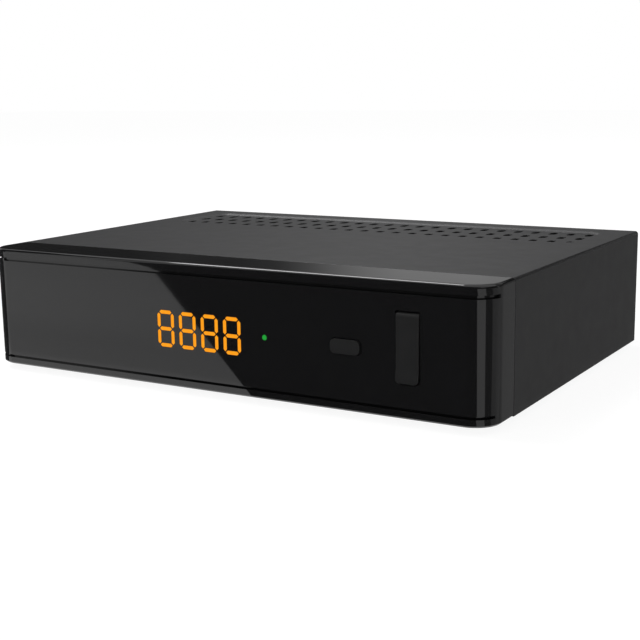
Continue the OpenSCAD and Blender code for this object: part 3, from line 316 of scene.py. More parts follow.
SLOT_OF = {part["node"]: part["material_slot"] for part in frame["record"]["subparts"]}
for node_name, node in nodes.items():
    paint(node, FINISHES[SLOT_OF[node_name]])
# Two nodes need more than their slot's finish: the cover for the painted shade in its slots and
# along its bends and the painted highlight on its strip's slopes, and the digital audio barrel,
# which is duller than the other plated pieces.
paint(nodes["top_cover"], case_paint("cover_paint_with_painted_shade", VENT_BOX))
paint(nodes["coax_barrel"], plated("satin_nickel", NICKEL, 0.36))


# ---------------------------------------------------------------- edges and normals

EDGE_ANGLE = math.radians(32)
CREASE_ANGLE = math.radians(16.3)
WELD = 0.002 * MM
RADIUS_SEGMENTS = 2
FACE_WEIGHT = 100


def make_creases():
    """Nodes that keep every edge sharper than CREASE_ANGLE sharp, so that flat faces stay flat."""
    tree = bpy.data.node_groups.new("creases", "GeometryNodeTree")
    for way in ("INPUT", "OUTPUT"):
        tree.interface.new_socket("Geometry", in_out=way, socket_type="NodeSocketGeometry")
    taken, given = tree.nodes.new("NodeGroupInput"), tree.nodes.new("NodeGroupOutput")
    fold = tree.nodes.new("GeometryNodeInputMeshEdgeAngle")
    steep = tree.nodes.new("FunctionNodeCompare")
    steep.data_type, steep.operation = "FLOAT", "GREATER_THAN"
    steep.inputs[1].default_value = CREASE_ANGLE
    sharpen = tree.nodes.new("GeometryNodeSetMeshNormal")
    sharpen.mode = "SHARPNESS"
    tree.links.new(taken.outputs[0], sharpen.inputs["Mesh"])
    tree.links.new(fold.outputs[0], steep.inputs[0])
    tree.links.new(steep.outputs[0], sharpen.inputs["Edge Sharpness"])
    tree.links.new(sharpen.outputs[0], given.inputs[0])
    return tree


CREASES = make_creases()


def soften(piece, width, creased=False):
    """Gives a piece's sharp edges a small radius, and smooths the facets of its curves.

    A creased piece gets narrow flat chamfers instead, and its flat faces stay exactly flat.
    """
    for polygon in piece.data.polygons:
        polygon.use_smooth = True
    weld = piece.modifiers.new("weld", "WELD")
    weld.merge_threshold = WELD
    if width:
        bevel = piece.modifiers.new("edge_radius", "BEVEL")
        bevel.width = width
        bevel.segments = 1 if creased else RADIUS_SEGMENTS
        bevel.limit_method = "ANGLE"
        bevel.angle_limit = EDGE_ANGLE
        bevel.miter_outer = "MITER_SHARP" if creased else "MITER_ARC"
    if creased:
        piece.modifiers.new("creases", "NODES").node_group = CREASES
    normals = piece.modifiers.new("normals", "WEIGHTED_NORMAL")
    normals.weight = FACE_WEIGHT
    normals.keep_sharp = creased


# Widths of chamfers and edge radii, in millimetres.
CHAMFERS = {
    "front_fascia": 0.05, "top_cover": 0.1, "chassis_tray": 0.1, "rear_panel": 0.1,
    "display_segments": 0.04, "light_pipe": 0.14, "scart_socket": 0.12, "main_board": 0.05,
    "front_board": 0.05, "tuner_can": 0.06, "tuner_lid": 0.08, "display_module": 0.15,
    "heatsink": 0.1,
}
EDGE_RADII = {
    "standby_button": 0.25, "usb_flap": 0.12, "usb_shell": 0.06, "usb_insulator": 0.08,
    "remote_sensor": 0.2, "tact_switch": 0.15, "tact_plunger": 0.15, "status_led": 0.1,
    "coax_body": 0.3, "coax_barrel": 0.1, "coax_insulator": 0.15, "power_socket": 0.25,
    "power_pin": 0.3, "hdmi_shell": 0.06, "hdmi_tongue": 0.06, "lnb_insulators": 0.15,
    "rubber_feet": 0.15, "processor": 0.1, "memory_chips": 0.1, "power_chips": 0.1,
    "capacitors": 0.25, "inductors": 0.2, "crystal": 0.4, "board_header": 0.05,
    "standoffs": 0.12,
}
for node_name, width in CHAMFERS.items():
    soften(nodes[node_name], width * MM, creased=True)
for node_name, width in EDGE_RADII.items():
    soften(nodes[node_name], width * MM)


# ---------------------------------------------------------------- small parts

# Where the solids' source has its zero, in millimetres: on the front face and under the case.
FRONT, UNDER = (round(value / MM, 3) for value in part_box("front_fascia")[0].yz)


def limits(node):
    """Where a node starts and ends in x, in y and in z, in the source's millimetres."""
    low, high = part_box(node)
    return [(round(start / MM - zero, 3), round(end / MM - zero, 3))
            for start, end, zero in zip(low, high, (0, FRONT, UNDER))]


def centre(node):
    return [round((start + end) / 2, 3) for start, end in limits(node)]


def row(count, pitch, middle):
    """Places of count things, a pitch apart, about the middle."""
    return [middle + (i - (count - 1) / 2) * pitch for i in range(count)]


class Shape:
    """Closed solids gathered into one mesh, in millimetres from the front face and underside."""

    def __init__(self):
        self.points, self.faces = [], []

    def loft(self, rings, ring_shaped=False):
        """A solid through rings of equally many points, closed by its first and last ring.

        A ring-shaped solid joins its last ring to its first, as a tube's section does.
        """
        numbered = []
        for ring in rings:
            first = len(self.points)
            self.points.extend(ring)
            numbered.append(range(first, first + len(ring)))
        pairs = list(zip(numbered, numbered[1:]))
        if ring_shaped:
            pairs.append((numbered[-1], numbered[0]))
        for low, high in pairs:
            for i in range(len(low)):
                j = (i + 1) % len(low)
                self.faces.append([low[i], low[j], high[j], high[i]])
        if not ring_shaped:
            self.faces += [list(numbered[0]), list(numbered[-1])]

    def block(self, low, high):
        (x0, y0, z0), (x1, y1, z1) = low, high
        self.loft([[(x0, y0, z), (x1, y0, z), (x1, y1, z), (x0, y1, z)] for z in (z0, z1)])

    def piece(self, name, slot, finish=None, width=0.0, creased=True, stands_for=(),
              body="case"):
        """The finished piece, on its body, with its material and its softened edges."""
        mesh = bpy.data.meshes.new(name)
        mesh.from_pydata([(x * MM, (y + FRONT) * MM, (z + UNDER) * MM)
                          for x, y, z in self.points], [], self.faces)
        work = bmesh.new()
        work.from_mesh(mesh)
        bmesh.ops.recalc_face_normals(work, faces=work.faces)
        work.to_mesh(mesh)
        work.free()
        made = bpy.data.objects.new(name, mesh)
        scene.collection.objects.link(made)
        soften(made, width * MM, creased)
        paint(made, finish or FINISHES[slot])
        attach(made, body)
        if stands_for:
            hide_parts(*stands_for)


def around(count):
    return [2 * math.pi * i / count for i in range(count)]


def ring_y(x, z, radius, y, angles):
    """A ring about an axis that points back. The radius is a number or a function of the angle."""
    reach = radius if callable(radius) else lambda angle: radius
    return [(x + reach(a) * math.cos(a), y, z + reach(a) * math.sin(a)) for a in angles]


def ring_z(x, y, radius, z, angles):
    """The same about an axis that points up."""
    return [(across, back, up) for across, up, back in ring_y(x, y, radius, z, angles)]


# Aerial sockets: a cut 3/8-32 thread on each barrel, and chamfered six-sided nuts. A barrel
# starts with a flange between the tuner can and the rear panel, and has a relief by its nut.
BARRELS_X, (CAN_BACK, AERIAL_TIP), BARRELS_Z = limits("lnb_barrels")
FLANGE_RADIUS = round((BARRELS_Z[1] - BARRELS_Z[0]) / 2, 3)
AERIAL_X = (BARRELS_X[1] - FLANGE_RADIUS, BARRELS_X[0] + FLANGE_RADIUS)
AERIAL_Z = centre("lnb_barrels")[2]
PANEL_THICKNESS = 0.8
WALL_OUTER, NUT_END = limits("lnb_nuts")[1]
WALL_INNER = round(WALL_OUTER - PANEL_THICKNESS, 3)
RELIEF_END = 122.3
BORE_RADIUS = 3.3
BARREL_EDGE, FLANGE_EDGE = 0.25, 0.2

THREAD_PITCH = 25.4 / 32
THREAD_OUTER, THREAD_DEPTH = 4.76, 0.42
THREAD_ROOT = THREAD_OUTER - THREAD_DEPTH
# Shares of half a turn that the root's flat and the flank take. The crest has the rest.
ROOT_SHARE, FLANK_SHARE = 0.25, 0.62
TIP_SLOPE = 0.9
THREAD_SIDES, RINGS_PER_TURN = 56, 8


def thread_radius(angle, y):
    """Radius of the thread: flat crests and roots with straight flanks between them."""
    if NUT_END < y < RELIEF_END:
        return THREAD_ROOT
    turn = (y / THREAD_PITCH - angle / (2 * math.pi)) % 1
    from_root = abs(turn - 0.5) * 2
    height = min(max((from_root - ROOT_SHARE) / FLANK_SHARE, 0), 1)
    lead_in = max(AERIAL_TIP - y, 0) * TIP_SLOPE
    return THREAD_ROOT + min(height * THREAD_DEPTH, lead_in)


def thread_ring(x, y, angles):
    return ring_y(x, AERIAL_Z, lambda angle: thread_radius(angle, y), y, angles)


def aerial_barrels():
    made = Shape()
    angles = around(THREAD_SIDES)
    length = AERIAL_TIP - WALL_INNER
    steps = int(length / THREAD_PITCH * RINGS_PER_TURN)
    for x in AERIAL_X:
        rings = [ring_y(x, AERIAL_Z, r, y, angles) for r, y in (
            (BORE_RADIUS, CAN_BACK), (FLANGE_RADIUS - BARREL_EDGE, CAN_BACK),
            (FLANGE_RADIUS, CAN_BACK + BARREL_EDGE), (FLANGE_RADIUS, WALL_INNER - FLANGE_EDGE),
            (FLANGE_RADIUS - FLANGE_EDGE, WALL_INNER), (THREAD_ROOT, WALL_INNER))]
        rings += [thread_ring(x, WALL_INNER + length * step / steps, angles)
                  for step in range(1, steps + 1)]
        rings.append(ring_y(x, AERIAL_Z, BORE_RADIUS + BARREL_EDGE, AERIAL_TIP, angles))
        rings.append(ring_y(x, AERIAL_Z, BORE_RADIUS, AERIAL_TIP - BARREL_EDGE, angles))
        made.loft(rings, ring_shaped=True)
    made.piece("aerial_threads", "plated_metal", creased=False, stands_for=("lnb_barrels",))


def aerial_nuts():
    """Six-sided nuts whose corners are cut off by a cone at both ends."""
    made = Shape()
    half, bore, edge = 5.5, 4.8, 0.3
    face = half * 0.97
    slope = math.tan(math.radians(30))
    sector = math.radians(60)
    angles = around(72)

    def corner(angle):
        return half / math.cos((angle + sector / 2) % sector - sector / 2)

    def rim(x, y, way):
        return [(x + corner(a) * math.cos(a), y - way * (corner(a) - face) * slope,
                 AERIAL_Z + corner(a) * math.sin(a)) for a in angles]

    for x in AERIAL_X:
        made.loft([
            ring_y(x, AERIAL_Z, bore, WALL_OUTER + edge, angles),
            ring_y(x, AERIAL_Z, bore + edge, WALL_OUTER, angles),
            ring_y(x, AERIAL_Z, face, WALL_OUTER, angles),
            rim(x, WALL_OUTER, -1), rim(x, NUT_END, 1),
            ring_y(x, AERIAL_Z, face, NUT_END, angles),
            ring_y(x, AERIAL_Z, bore + edge, NUT_END, angles),
            ring_y(x, AERIAL_Z, bore, NUT_END - edge, angles)], ring_shaped=True)
    made.piece("aerial_nuts", "plated_metal", stands_for=("lnb_nuts",))


def tube(shape, x, z, outer, inner, start, end, sides):
    """A thin sleeve along y with a lead-in at its open end."""
    lead = (outer - inner) * 0.7
    shape.loft([ring_y(x, z, r, y, around(sides)) for r, y in (
        (inner, start), (outer, start), (outer, end - lead / 2), (outer - lead / 4, end),
        (inner + lead, end), (inner, end - lead))], ring_shaped=True)


def centre_contacts():
    """Sleeves for the centre wires of the aerial plugs and for the digital audio plug's pin."""
    made = Shape()
    for x in AERIAL_X:
        tube(made, x, AERIAL_Z, 0.59, 0.4, AERIAL_TIP - 8, AERIAL_TIP - 1.1, 24)
    made.piece("aerial_contacts", "plated_metal", gold_contact)
    made = Shape()
    coax_x, _, coax_z = centre("coax_barrel")
    tube(made, coax_x, coax_z, 1.59, 1.42, 120.3, 127.4, 36)
    made.piece("coax_contact", "plated_metal")


# Screws: domed heads with a tapered cross recess. Its arms reach CROSS_REACH of the head's
# radius, half their width is CROSS_WIDTH of that, and its floor is CROSS_FLOOR of its mouth.
CROSS_REACH = 0.62
CROSS_WIDTH = 0.27
CROSS_FLOOR = 0.72


def cross_angles():
    """Angles of one turn, closest at the ends of the cross's arms, whose corners they cut off."""
    tip = math.degrees(math.atan2(CROSS_WIDTH / 2, CROSS_REACH))
    quarter = [0, tip / 2, tip, tip + 8, 32, 45, 58, 82 - tip, 90 - tip, 90 - tip / 2]
    return [math.radians(angle + 90 * turn) for turn in range(4) for angle in quarter]


def cross_radius(head, share=1.0):
    """The outline of a head's cross recess, or of a share of it, in polar form."""
    reach = head * CROSS_REACH * share
    half_width = reach * CROSS_WIDTH

    def radius(angle):
        short_way, long_way = sorted((abs(math.cos(angle)), abs(math.sin(angle))))
        return min(reach / long_way, half_width / max(short_way, 1e-6))

    return radius


def screws(name, node, slot, places, axis, head, height, shank):
    """Screws in place of a node's plain ones, at places across the axis.

    Their heads end where the node does along the axis, and their shanks start where it does.
    """
    made = Shape()
    angles = cross_angles()
    ring = ring_y if axis == "y" else ring_z
    start, end = limits(node)["xyz".index(axis)]
    seat = round(end - height, 3)
    edge = 0.15
    section = [
        (shank * 0.6, start), (shank, start + shank * 0.5), (shank, seat),
        (head - edge, seat), (head, seat + edge), (head, seat + height * 0.35),
        (head * 0.95, seat + height * 0.62), (head * 0.84, seat + height * 0.85),
        (head * 0.7, end), (cross_radius(head), end),
        (cross_radius(head, CROSS_FLOOR), seat + height * 0.35),
        (head * 0.1, seat + height * 0.12)]
    for first, second in places:
        made.loft([ring(first, second, radius, level, angles) for radius, level in section])
    made.piece(name, slot, stands_for=(node,))


def all_screws():
    """The screws' places are in x and z on the upright faces, and in x and y on the board."""
    screws("cover_screw_heads", "cover_screws", "black_screw",
           [(-72, 31.4), (0, 31.4), (72, 31.4)], axis="y", head=2.8, height=1.8, shank=1.4)
    screws("board_screw_heads", "board_screws", "zinc_screw",
           [(-71.2, 26), (71.2, 26), (-71.2, 98), (37, 98), (-24, 49)],
           axis="z", head=2.8, height=1.8, shank=1.4)
    screws("display_board_screw_heads", "front_board_screws", "zinc_screw",
           [(-30.9, 25), (33.5, 25)], axis="y", head=2.2, height=1.4, shank=0.85)
    screws("front_joint_screw_heads", "fascia_screws", "zinc_screw",
           [(-73, 12), (73, 12)], axis="y", head=2.8, height=1.8, shank=1.05)


# The multi-pin socket and the video socket, on the rear panel.
SCART_X, _, SCART_Z = centre("scart_socket")
SCART_ROW, SCART_PITCH = 10, 3.81
VIDEO_X = centre("hdmi_tongue")[0]


def scart_contacts():
    """A pair of sprung leaves in each slot of the multi-pin socket."""
    made = Shape()
    rise, half, thickness = 2.6, 1.25, 0.16
    bow = [(110.1, 0.5), (112.5, 0.42), (114.6, 0.24), (116.2, 0.2), (117.6, 0.36), (118.4, 0.5)]
    for level in (-1, 1):
        z = SCART_Z + level * rise
        for x in row(SCART_ROW, SCART_PITCH, SCART_X + level * SCART_PITCH / 4):
            for side in (-1, 1):
                rings = []
                for y, gap in bow:
                    low, high = x + side * gap - thickness / 2, x + side * gap + thickness / 2
                    rings.append([(low, y, z - half), (high, y, z - half),
                                  (high, y, z + half), (low, y, z + half)])
                made.loft(rings)
    made.piece("scart_contacts", "plated_metal")


def flat_contacts():
    """Gold strips let into the tongues of the video and USB sockets."""
    strip_edge = 0.03
    made = Shape()
    half, let_in, proud = 0.22, 0.15, 0.07
    start, end = 110.6, 117.7
    tongue_low, tongue_high = 10.3, 11.4
    for x in row(10, 1.0, VIDEO_X):
        made.block((x - half, start, tongue_high - let_in), (x + half, end, tongue_high + proud))
    for x in row(9, 1.0, VIDEO_X):
        made.block((x - half, start, tongue_low - proud), (x + half, end, tongue_low + let_in))
    made.piece("hdmi_contacts", "plated_metal", gold_contact, strip_edge)
    made = Shape()
    half, let_in = 0.5, 0.1
    face, tongue_z, end = 61.2, 17.4, 13.6
    for up, start in ((-3.5, 4.6), (-1.0, 5.6), (1.0, 5.6), (3.5, 4.6)):
        low, high = tongue_z + up - half, tongue_z + up + half
        bow = [(start, 0.02), (start + 0.5, 0.12), (start + 1.6, 0.3), (start + 2.6, 0.12),
               (end, 0.06)]
        made.loft([[(face + let_in, y, low), (face - lift, y, low),
                    (face - lift, y, high), (face + let_in, y, high)] for y, lift in bow])
    made.piece("usb_contacts", "plated_metal", gold_contact, strip_edge)


# The boards' small parts, on the upper face and the underside of the main board.
BOARD_UNDER, BOARD_TOP = limits("main_board")[2]
# Chips with legs: their middles in x and y, their width between the legs, their height, the
# number of legs on each side, the legs' pitch and half a leg's width.
LEGGED_CHIPS = [
    ([(-15, 62), (-15, 78)], 9, 1.1, 15, 0.8, 0.15),
    ([(10, 43)], 6, 1.6, 6, 1.27, 0.21),
    ([(-50.2, 40), (-50.2, 47), (52, 24)], 4, 1.5, 4, 1.27, 0.21),
]
# Free fields of the board: from x to x, and from y to y.
FREE_FIELDS = [(-30, 34, 90, 100), (-46, -23, 60, 98), (30, 42, 50, 92), (-62, -49, 64, 100),
               (-6, 50, 30, 37), (-5, 4, 22, 37)]


def chip_legs():
    """Gull-wing legs along the two long sides of each packaged chip."""
    made = Shape()
    metal = 0.09
    for places, width, height, count, pitch, half in LEGGED_CHIPS:
        level = height / 2
        outline = [(-0.2, level + metal), (0.3, level + metal), (0.55, 2 * metal),
                   (1.05, 2 * metal), (1.05, 0), (0.42, 0), (0.17, level - metal),
                   (-0.2, level - metal)]
        for x, y in places:
            for side in (-1, 1):
                for leg_y in row(count, pitch, y):
                    made.loft([[(x + side * (width / 2 + out), end, BOARD_TOP + up)
                                for out, up in outline] for end in (leg_y - half, leg_y + half)])
    made.piece("chip_legs", "tin_plate")


def paces(start, end, pace):
    """Places from start up to end, a pace apart."""
    while start < end:
        yield start
        start += pace


def chip_part(bodies, ends, x, y, turned):
    """A chip part with its two metal ends, along x, or along y if it is turned."""
    long_half, wide_half, cap = 0.8, 0.4, 0.3
    inner = long_half - cap
    body_height, end_height = 0.46, 0.5

    def corner(along, across, up):
        return (x + across, y + along, up) if turned else (x + along, y + across, up)

    for shape, start, end, height in (
            (bodies, -inner, inner, body_height), (ends, -long_half, -inner, end_height),
            (ends, inner, long_half, end_height)):
        shape.block(corner(start, -wide_half, BOARD_TOP),
                    corner(end, wide_half, BOARD_TOP + height))


def surface_parts():
    """Rows of chip resistors and capacitors in the free fields of the main board."""
    seed, filled, turned_share = 11, 0.5, 0.4
    pace_x, pace_y = 3.2, 2.5
    draw = random.Random(seed)
    bodies, ends = Shape(), Shape()
    for left, right, near, far in FREE_FIELDS:
        for x in paces(left, right, pace_x):
            for y in paces(near, far, pace_y):
                kept, turned = draw.random() < filled, draw.random() < turned_share
                if kept:
                    chip_part(bodies, ends, x, y, turned)
    bodies.piece("surface_parts", "chip_resin", width=0.04)
    ends.piece("surface_part_ends", "tin_plate", width=0.05)


def solder_joints():
    """Cones of solder round the cut pins under the main board."""
    scart_pins = [(x, 104.5 + 3.6 * (i % 2))
                  for i, x in enumerate(row(2 * SCART_ROW, SCART_PITCH / 2, SCART_X))]
    video_pins = [(x, 108.6) for x in row(10, 1.4, VIDEO_X)]
    header_pins = [(x, 18.9) for x in row(8, 2.54, centre("board_header")[0])]
    capacitors = [(-62.2, 52), (-48.2, 54), (-62.2, 45), (-62.2, 38), (42.2, 27), (50.2, 30)]
    capacitor_pins = [(x + side * 1.75, y) for side in (-1, 1) for x, y in capacitors]
    power_pins = [(-66, 106.5), (-66, 112.5), (-70.2, 109.5)]
    coax_pins = [(-48.25, 109), (-51.5, 114), (-45, 114)]
    can_tabs = [(46, 75), (74, 75), (46, 112), (74, 112), (60, 92)]
    cone = [(1.0, -0.05), (0.95, 0.08), (0.6, 0.35), (0.4, 0.75), (0.3, 0.95), (0.3, 1.3),
            (0.22, 1.38)]
    made = Shape()
    for x, y in (scart_pins + video_pins + header_pins + capacitor_pins + power_pins
                 + coax_pins + can_tabs):
        made.loft([ring_z(x, y, radius, BOARD_UNDER - drop, around(12)) for radius, drop in cone])
    made.piece("solder_joints", "tin_plate", creased=False)


aerial_barrels()
aerial_nuts()
centre_contacts()
all_screws()
scart_contacts()
flat_contacts()
chip_legs()
surface_parts()
solder_joints()


# ---------------------------------------------------------------- camera

PHOTO_WIDTH = 640
FOCAL_PIXELS = 1207.1
# The sensor's width in millimetres, in which Blender also takes the lens's length.
SENSOR = 36.0
NEAREST = 10 * MM
CAMERA_PLACE = Vector((0.19569, -0.32992, 0.0866))
# In degrees: how far the camera looks to the left of straight back, how far down, and its roll.
HEADING, TILT, ROLL = 31.0741, 11.1247, -0.8876


def make_camera():
    data = bpy.data.cameras.new("camera")
    data.sensor_width = SENSOR
    data.lens = SENSOR * FOCAL_PIXELS / PHOTO_WIDTH
    data.clip_start = NEAREST
    camera = bpy.data.objects.new("camera", data)
    scene.collection.objects.link(camera)
    camera.matrix_world = Matrix.Translation(CAMERA_PLACE)
    for angle, axis in ((HEADING, "Z"), (90 - TILT, "X"), (ROLL, "Z")):
        camera.matrix_world @= Matrix.Rotation(math.radians(angle), 4, axis)
    scene.camera = camera


make_camera()


# ---------------------------------------------------------------- floor, cards and lights

def sheet_object(name, corners):
    """One flat face that isn't part of the receiver."""
    mesh = bpy.data.meshes.new(name)
    mesh.from_pydata(corners, [], [tuple(range(len(corners)))])
    made = bpy.data.objects.new(name, mesh)
    scene.collection.objects.link(made)
    return made


def background_share(tree):
    """1 for the rays that should see a white background: camera, glossy and transmitted."""
    path = tree.nodes.new("ShaderNodeLightPath")
    total = path.outputs["Is Camera Ray"]
    for kind in ("Is Glossy Ray", "Is Transmission Ray"):
        add = tree.nodes.new("ShaderNodeMath")
        add.operation = "MAXIMUM"
        tree.links.new(total, add.inputs[0])
        tree.links.new(path.outputs[kind], add.inputs[1])
        total = add.outputs[0]
    return total


FLOOR_HALF = 3.0
FLOOR_GLOW = 0.92
FLOOR_COLOR = (0.8, 0.8, 0.8)
# Where the floor is seen, its colour adds to its glow, and a shadow takes only that away.
FLOOR_SEEN_COLOR = (0.17, 0.17, 0.17)


def make_floor():
    """A pale floor, white where it is seen but for the receiver's soft shadow.

    From below it can be looked through, so that the receiver's underside shows.
    """
    floor = sheet_object("floor", [
        (x * FLOOR_HALF, y * FLOOR_HALF, 0) for x, y in ((-1, -1), (1, -1), (1, 1), (-1, 1))])
    made = Finish("floor", FLOOR_COLOR, 0.9, Specular_IOR_Level=0.0)
    grain = made.ramp(made.noise(2 * MM, 3), 0.3, 0.7, 0.985, 1.0)
    seen = background_share(made.tree)
    made.set("Base Color", made.mix(seen, FLOOR_COLOR, FLOOR_SEEN_COLOR))
    made.set("Emission Color", (1, 1, 1, 1))
    made.set("Emission Strength", made.math(
        "MULTIPLY", made.math("MULTIPLY", seen, FLOOR_GLOW), grain))
    below = made.node("ShaderNodeNewGeometry").outputs["Backfacing"]
    made.set("Alpha", made.math("SUBTRACT", 1.0, below))
    paint(floor, made)


def only_in_reflections(card):
    card.visible_camera = False
    card.visible_diffuse = False
    card.visible_shadow = False
    card.visible_transmission = False
    card.visible_volume_scatter = False


def make_card(name, corners, stops, start=(0, 0, 0), end=(1, 0, 0)):
    """A card that only reflections see. Its tone follows stops from start to end."""
    card = sheet_object(name, corners)
    material = bpy.data.materials.new(name)
    material.use_nodes = True
    tree = material.node_tree
    tree.nodes.clear()
    start, end = Vector(start), Vector(end)
    span = end - start
    place = tree.nodes.new("ShaderNodeTexCoord").outputs["Object"]
    shift = tree.nodes.new("ShaderNodeVectorMath")
    shift.operation = "SUBTRACT"
    tree.links.new(place, shift.inputs[0])
    shift.inputs[1].default_value = start
    along = tree.nodes.new("ShaderNodeVectorMath")
    along.operation = "DOT_PRODUCT"
    tree.links.new(shift.outputs[0], along.inputs[0])
    along.inputs[1].default_value = span / span.length_squared
    tone = tree.nodes.new("ShaderNodeValToRGB")
    tree.links.new(along.outputs["Value"], tone.inputs[0])
    while len(tone.color_ramp.elements) < len(stops):
        tone.color_ramp.elements.new(0.5)
    for element, (position, level) in zip(tone.color_ramp.elements, stops):
        element.position = position
        element.color = (level, level, level, 1)
    glow = tree.nodes.new("ShaderNodeEmission")
    tree.links.new(tone.outputs[0], glow.inputs["Color"])
    output = tree.nodes.new("ShaderNodeOutputMaterial")
    tree.links.new(glow.outputs[0], output.inputs[0])
    card.data.materials.append(material)
    only_in_reflections(card)


def even_card(name, corners, level):
    make_card(name, corners, [(0, level), (1, level)])


def stops_along(points, low, high):
    """Stops of a card from pairs of place and tone, with places between low and high."""
    return [((place - low) / (high - low), level) for place, level in points]


def area_light(name, place, aim, size, watts, mirrored=True):
    """A soft lamp. One that isn't mirrored gives light but doesn't show in glossy surfaces."""
    data = bpy.data.lights.new(name, "AREA")
    data.shape = "RECTANGLE"
    data.size, data.size_y = size
    data.energy = watts
    light = bpy.data.objects.new(name, data)
    light.location = place
    direction = Vector(aim) - Vector(place)
    light.rotation_euler = direction.to_track_quat("-Z", "Y").to_euler()
    light.visible_glossy = mirrored
    scene.collection.objects.link(light)


WORLD_LIGHT = 0.42


def make_world():
    """White where it is seen or reflected, and an even dim light for everything else."""
    world = bpy.data.worlds.new("studio")
    scene.world = world
    world.use_nodes = True
    tree = world.node_tree
    seen = background_share(tree)
    strength = tree.nodes.new("ShaderNodeMapRange")
    tree.links.new(seen, strength.inputs["Value"])
    strength.inputs["To Min"].default_value = WORLD_LIGHT
    strength.inputs["To Max"].default_value = 1.0
    backdrop = tree.nodes["Background"]
    backdrop.inputs["Color"].default_value = (1, 1, 1, 1)
    tree.links.new(strength.outputs[0], backdrop.inputs["Strength"])


# The cards that the gloss front mirrors. They lie just over the floor and start just ahead of
# the front, and the walls stand round them, in metres from the receiver's middle.
CARD_LIFT = 0.4 * MM
WALL_FOOT = 1 * MM
SHADOW_GAP = 1 * MM
CARD_REACH = 1.8
LEFT_WALL, RIGHT_WALL = -1.7, 1.6
FRONT_WALL, BACK_WALL = -1.5, 0.8
FRONT_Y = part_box("front_fascia")[0].y
SIDE_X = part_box("front_fascia")[1].x
CORNER_RADIUS = 7.5 * MM
NEAR, FAR = FRONT_Y - SHADOW_GAP, FRONT_Y - CARD_REACH

# Rays on the floor from the upright right corner. In degrees from straight ahead of the front
# towards the right side: where the corner faces at the ray's start, and where the ray heads.
STRAIGHT = (0, 0)
WEDGE_START, WEDGE_END = (27.5, 31.5), (44, 64)
FLAG_END, SIDE_START = (57, 92), (79, 135)
CORNER_CARDS = [
    ("corner_wedge", WEDGE_START, WEDGE_END, 0.82), ("corner_flag", WEDGE_END, FLAG_END, 0.12),
    ("side_floor_near", FLAG_END, SIDE_START, 0.37)]


def on_ray(ray, distance):
    """The point of the floor that lies the distance along a ray from the right corner."""
    facing, heading = (math.radians(angle) for angle in ray)
    reach = CORNER_RADIUS + SHADOW_GAP
    return (SIDE_X - CORNER_RADIUS + reach * math.sin(facing) + distance * math.sin(heading),
            FRONT_Y + CORNER_RADIUS - reach * math.cos(facing) - distance * math.cos(heading),
            CARD_LIFT)


def on_floor(*points):
    return [(x, y, CARD_LIFT) for x, y in points]


def upright(first, second, low, high):
    """The corners of a wall from one point of the floor to another."""
    return [(*first, low), (*second, low), (*second, high), (*first, high)]


def wall_card(name, first, second, low, high, level):
    even_card(name, upright(first, second, low, high), level)


def floor_cards():
    """What the front and the right side mirror near the floor, from the left to the right."""
    split = 0.08
    # On the left the front mirrors the pale floor, in tones by the distance ahead of it.
    depths = [(0.0, 1.25), (0.012, 1.22), (0.02, 0.93), (0.044, 0.89), (0.074, 0.99),
              (0.117, 1.0), (0.15, 0.97), (0.2, 0.95)]
    depth = depths[-1][0]
    left_cut = 0.92
    make_card("front_floor", on_floor(
        (-SIDE_X, NEAR), (-CARD_REACH, NEAR - left_cut), (-CARD_REACH, FAR),
        (split + FAR, FAR), (split + NEAR, NEAR)),
        stops_along(depths, 0.0, depth), (0, FRONT_Y, 0), (0, FRONT_Y - depth, 0))
    # On the right it mirrors a dark flag, up to the bright wedge ahead of the corner.
    even_card("front_flag", [
        *on_floor((split + NEAR, NEAR), (split + FAR, FAR)), on_ray(WEDGE_START, CARD_REACH),
        on_ray(WEDGE_START, 0), on_ray(STRAIGHT, 0)], 0.06)
    for name, first, last, level in CORNER_CARDS:
        even_card(name, [on_ray(first, 0), on_ray(first, CARD_REACH),
                         on_ray(last, CARD_REACH), on_ray(last, 0)], level)
    side_far, side_behind = 1.2, 2.5
    even_card("side_floor", [
        on_ray(SIDE_START, 0), on_ray(SIDE_START, CARD_REACH),
        *on_floor((side_far, side_behind), (SIDE_X + SHADOW_GAP, side_behind))], 0.24)
    # Left of the receiver a dark flag keeps white off the rim of its left side.
    left_edge, left_behind, slant = -SIDE_X - SHADOW_GAP, 1.2, math.tan(math.radians(28))
    even_card("left_flag", on_floor(
        (left_edge, NEAR), (left_edge, left_behind), (LEFT_WALL, left_behind),
        (LEFT_WALL, NEAR - (left_edge - LEFT_WALL) * slant)), 0.07)


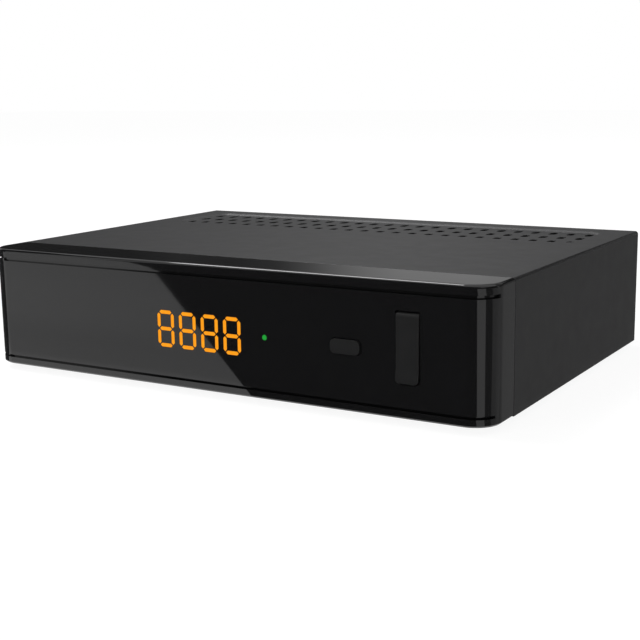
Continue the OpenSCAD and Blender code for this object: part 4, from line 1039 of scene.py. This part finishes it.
def back_cards():
    """What the front's upper face and lip mirror: a gradient, darkness above it, and a sheen."""
    left, right = -2.4, 1.4
    low_top, dark_top, top = 0.27, 0.42, 1.2
    first, second = (left, BACK_WALL), (right, BACK_WALL)
    ends = (*first, 0), (*second, 0)
    across = [(left, 0.02), (-0.754, 0.02), (-0.678, 0.034), (-0.6, 0.03), (-0.537, 0.05),
              (-0.497, 0.12), (-0.459, 0.22), (-0.421, 0.30), (-0.385, 0.362),
              (-0.30, 0.375), (-0.1, 0.2), (right, 0.12)]
    make_card("back_card", upright(first, second, WALL_FOOT, low_top),
              stops_along(across, left, right), *ends)
    wall_card("back_dark", first, second, low_top, dark_top, 0.03)
    sheen = [(left, 0.0), (-0.9, 0.0), (-0.74, 0.12), (-0.5, 1.3), (-0.32, 0.4), (right, 0.12)]
    make_card("back_sheen", upright(first, second, dark_top, top),
              stops_along(sheen, left, right), *ends)


def wall_cards():
    """The studio's other walls: bright ahead on the left and behind on the left, else dark."""
    left, split, low_top, top, left_top = -2.2, 0.15, 1.2, 1.7, 1.8
    first, second = (left, FRONT_WALL), (RIGHT_WALL, FRONT_WALL)
    ahead = [(left, 0.9), (-1.32, 0.9), (-1.15, 0.05), (RIGHT_WALL, 0.05)]
    make_card("front_wall", upright(first, second, WALL_FOOT, top),
              stops_along(ahead, left, RIGHT_WALL), (*first, 0), (*second, 0))
    wall_card("left_wall", (LEFT_WALL, FRONT_WALL), (LEFT_WALL, split), WALL_FOOT, left_top, 0.05)
    wall_card("left_wall_behind", (LEFT_WALL, split), (LEFT_WALL, BACK_WALL), WALL_FOOT, low_top,
              0.7)
    wall_card("right_wall", (RIGHT_WALL, FRONT_WALL), (RIGHT_WALL, BACK_WALL), WALL_FOOT, low_top,
              0.06)


make_floor()
make_world()
floor_cards()
back_cards()
wall_cards()
area_light("overhead", place=(-0.51, 0.0, 0.95), aim=(-0.05, 0, 0), size=(0.42, 0.34), watts=3.9)
area_light("overhead_soft", place=(-0.55, 0.0, 0.95), aim=(-0.05, 0, 0), size=(0.42, 0.7),
           watts=3.2, mirrored=False)
area_light("front_fill", place=(-0.3, -1.1, 0.8), aim=(0, 0, 0.02), size=(0.7, 0.7), watts=2.5,
           mirrored=False)
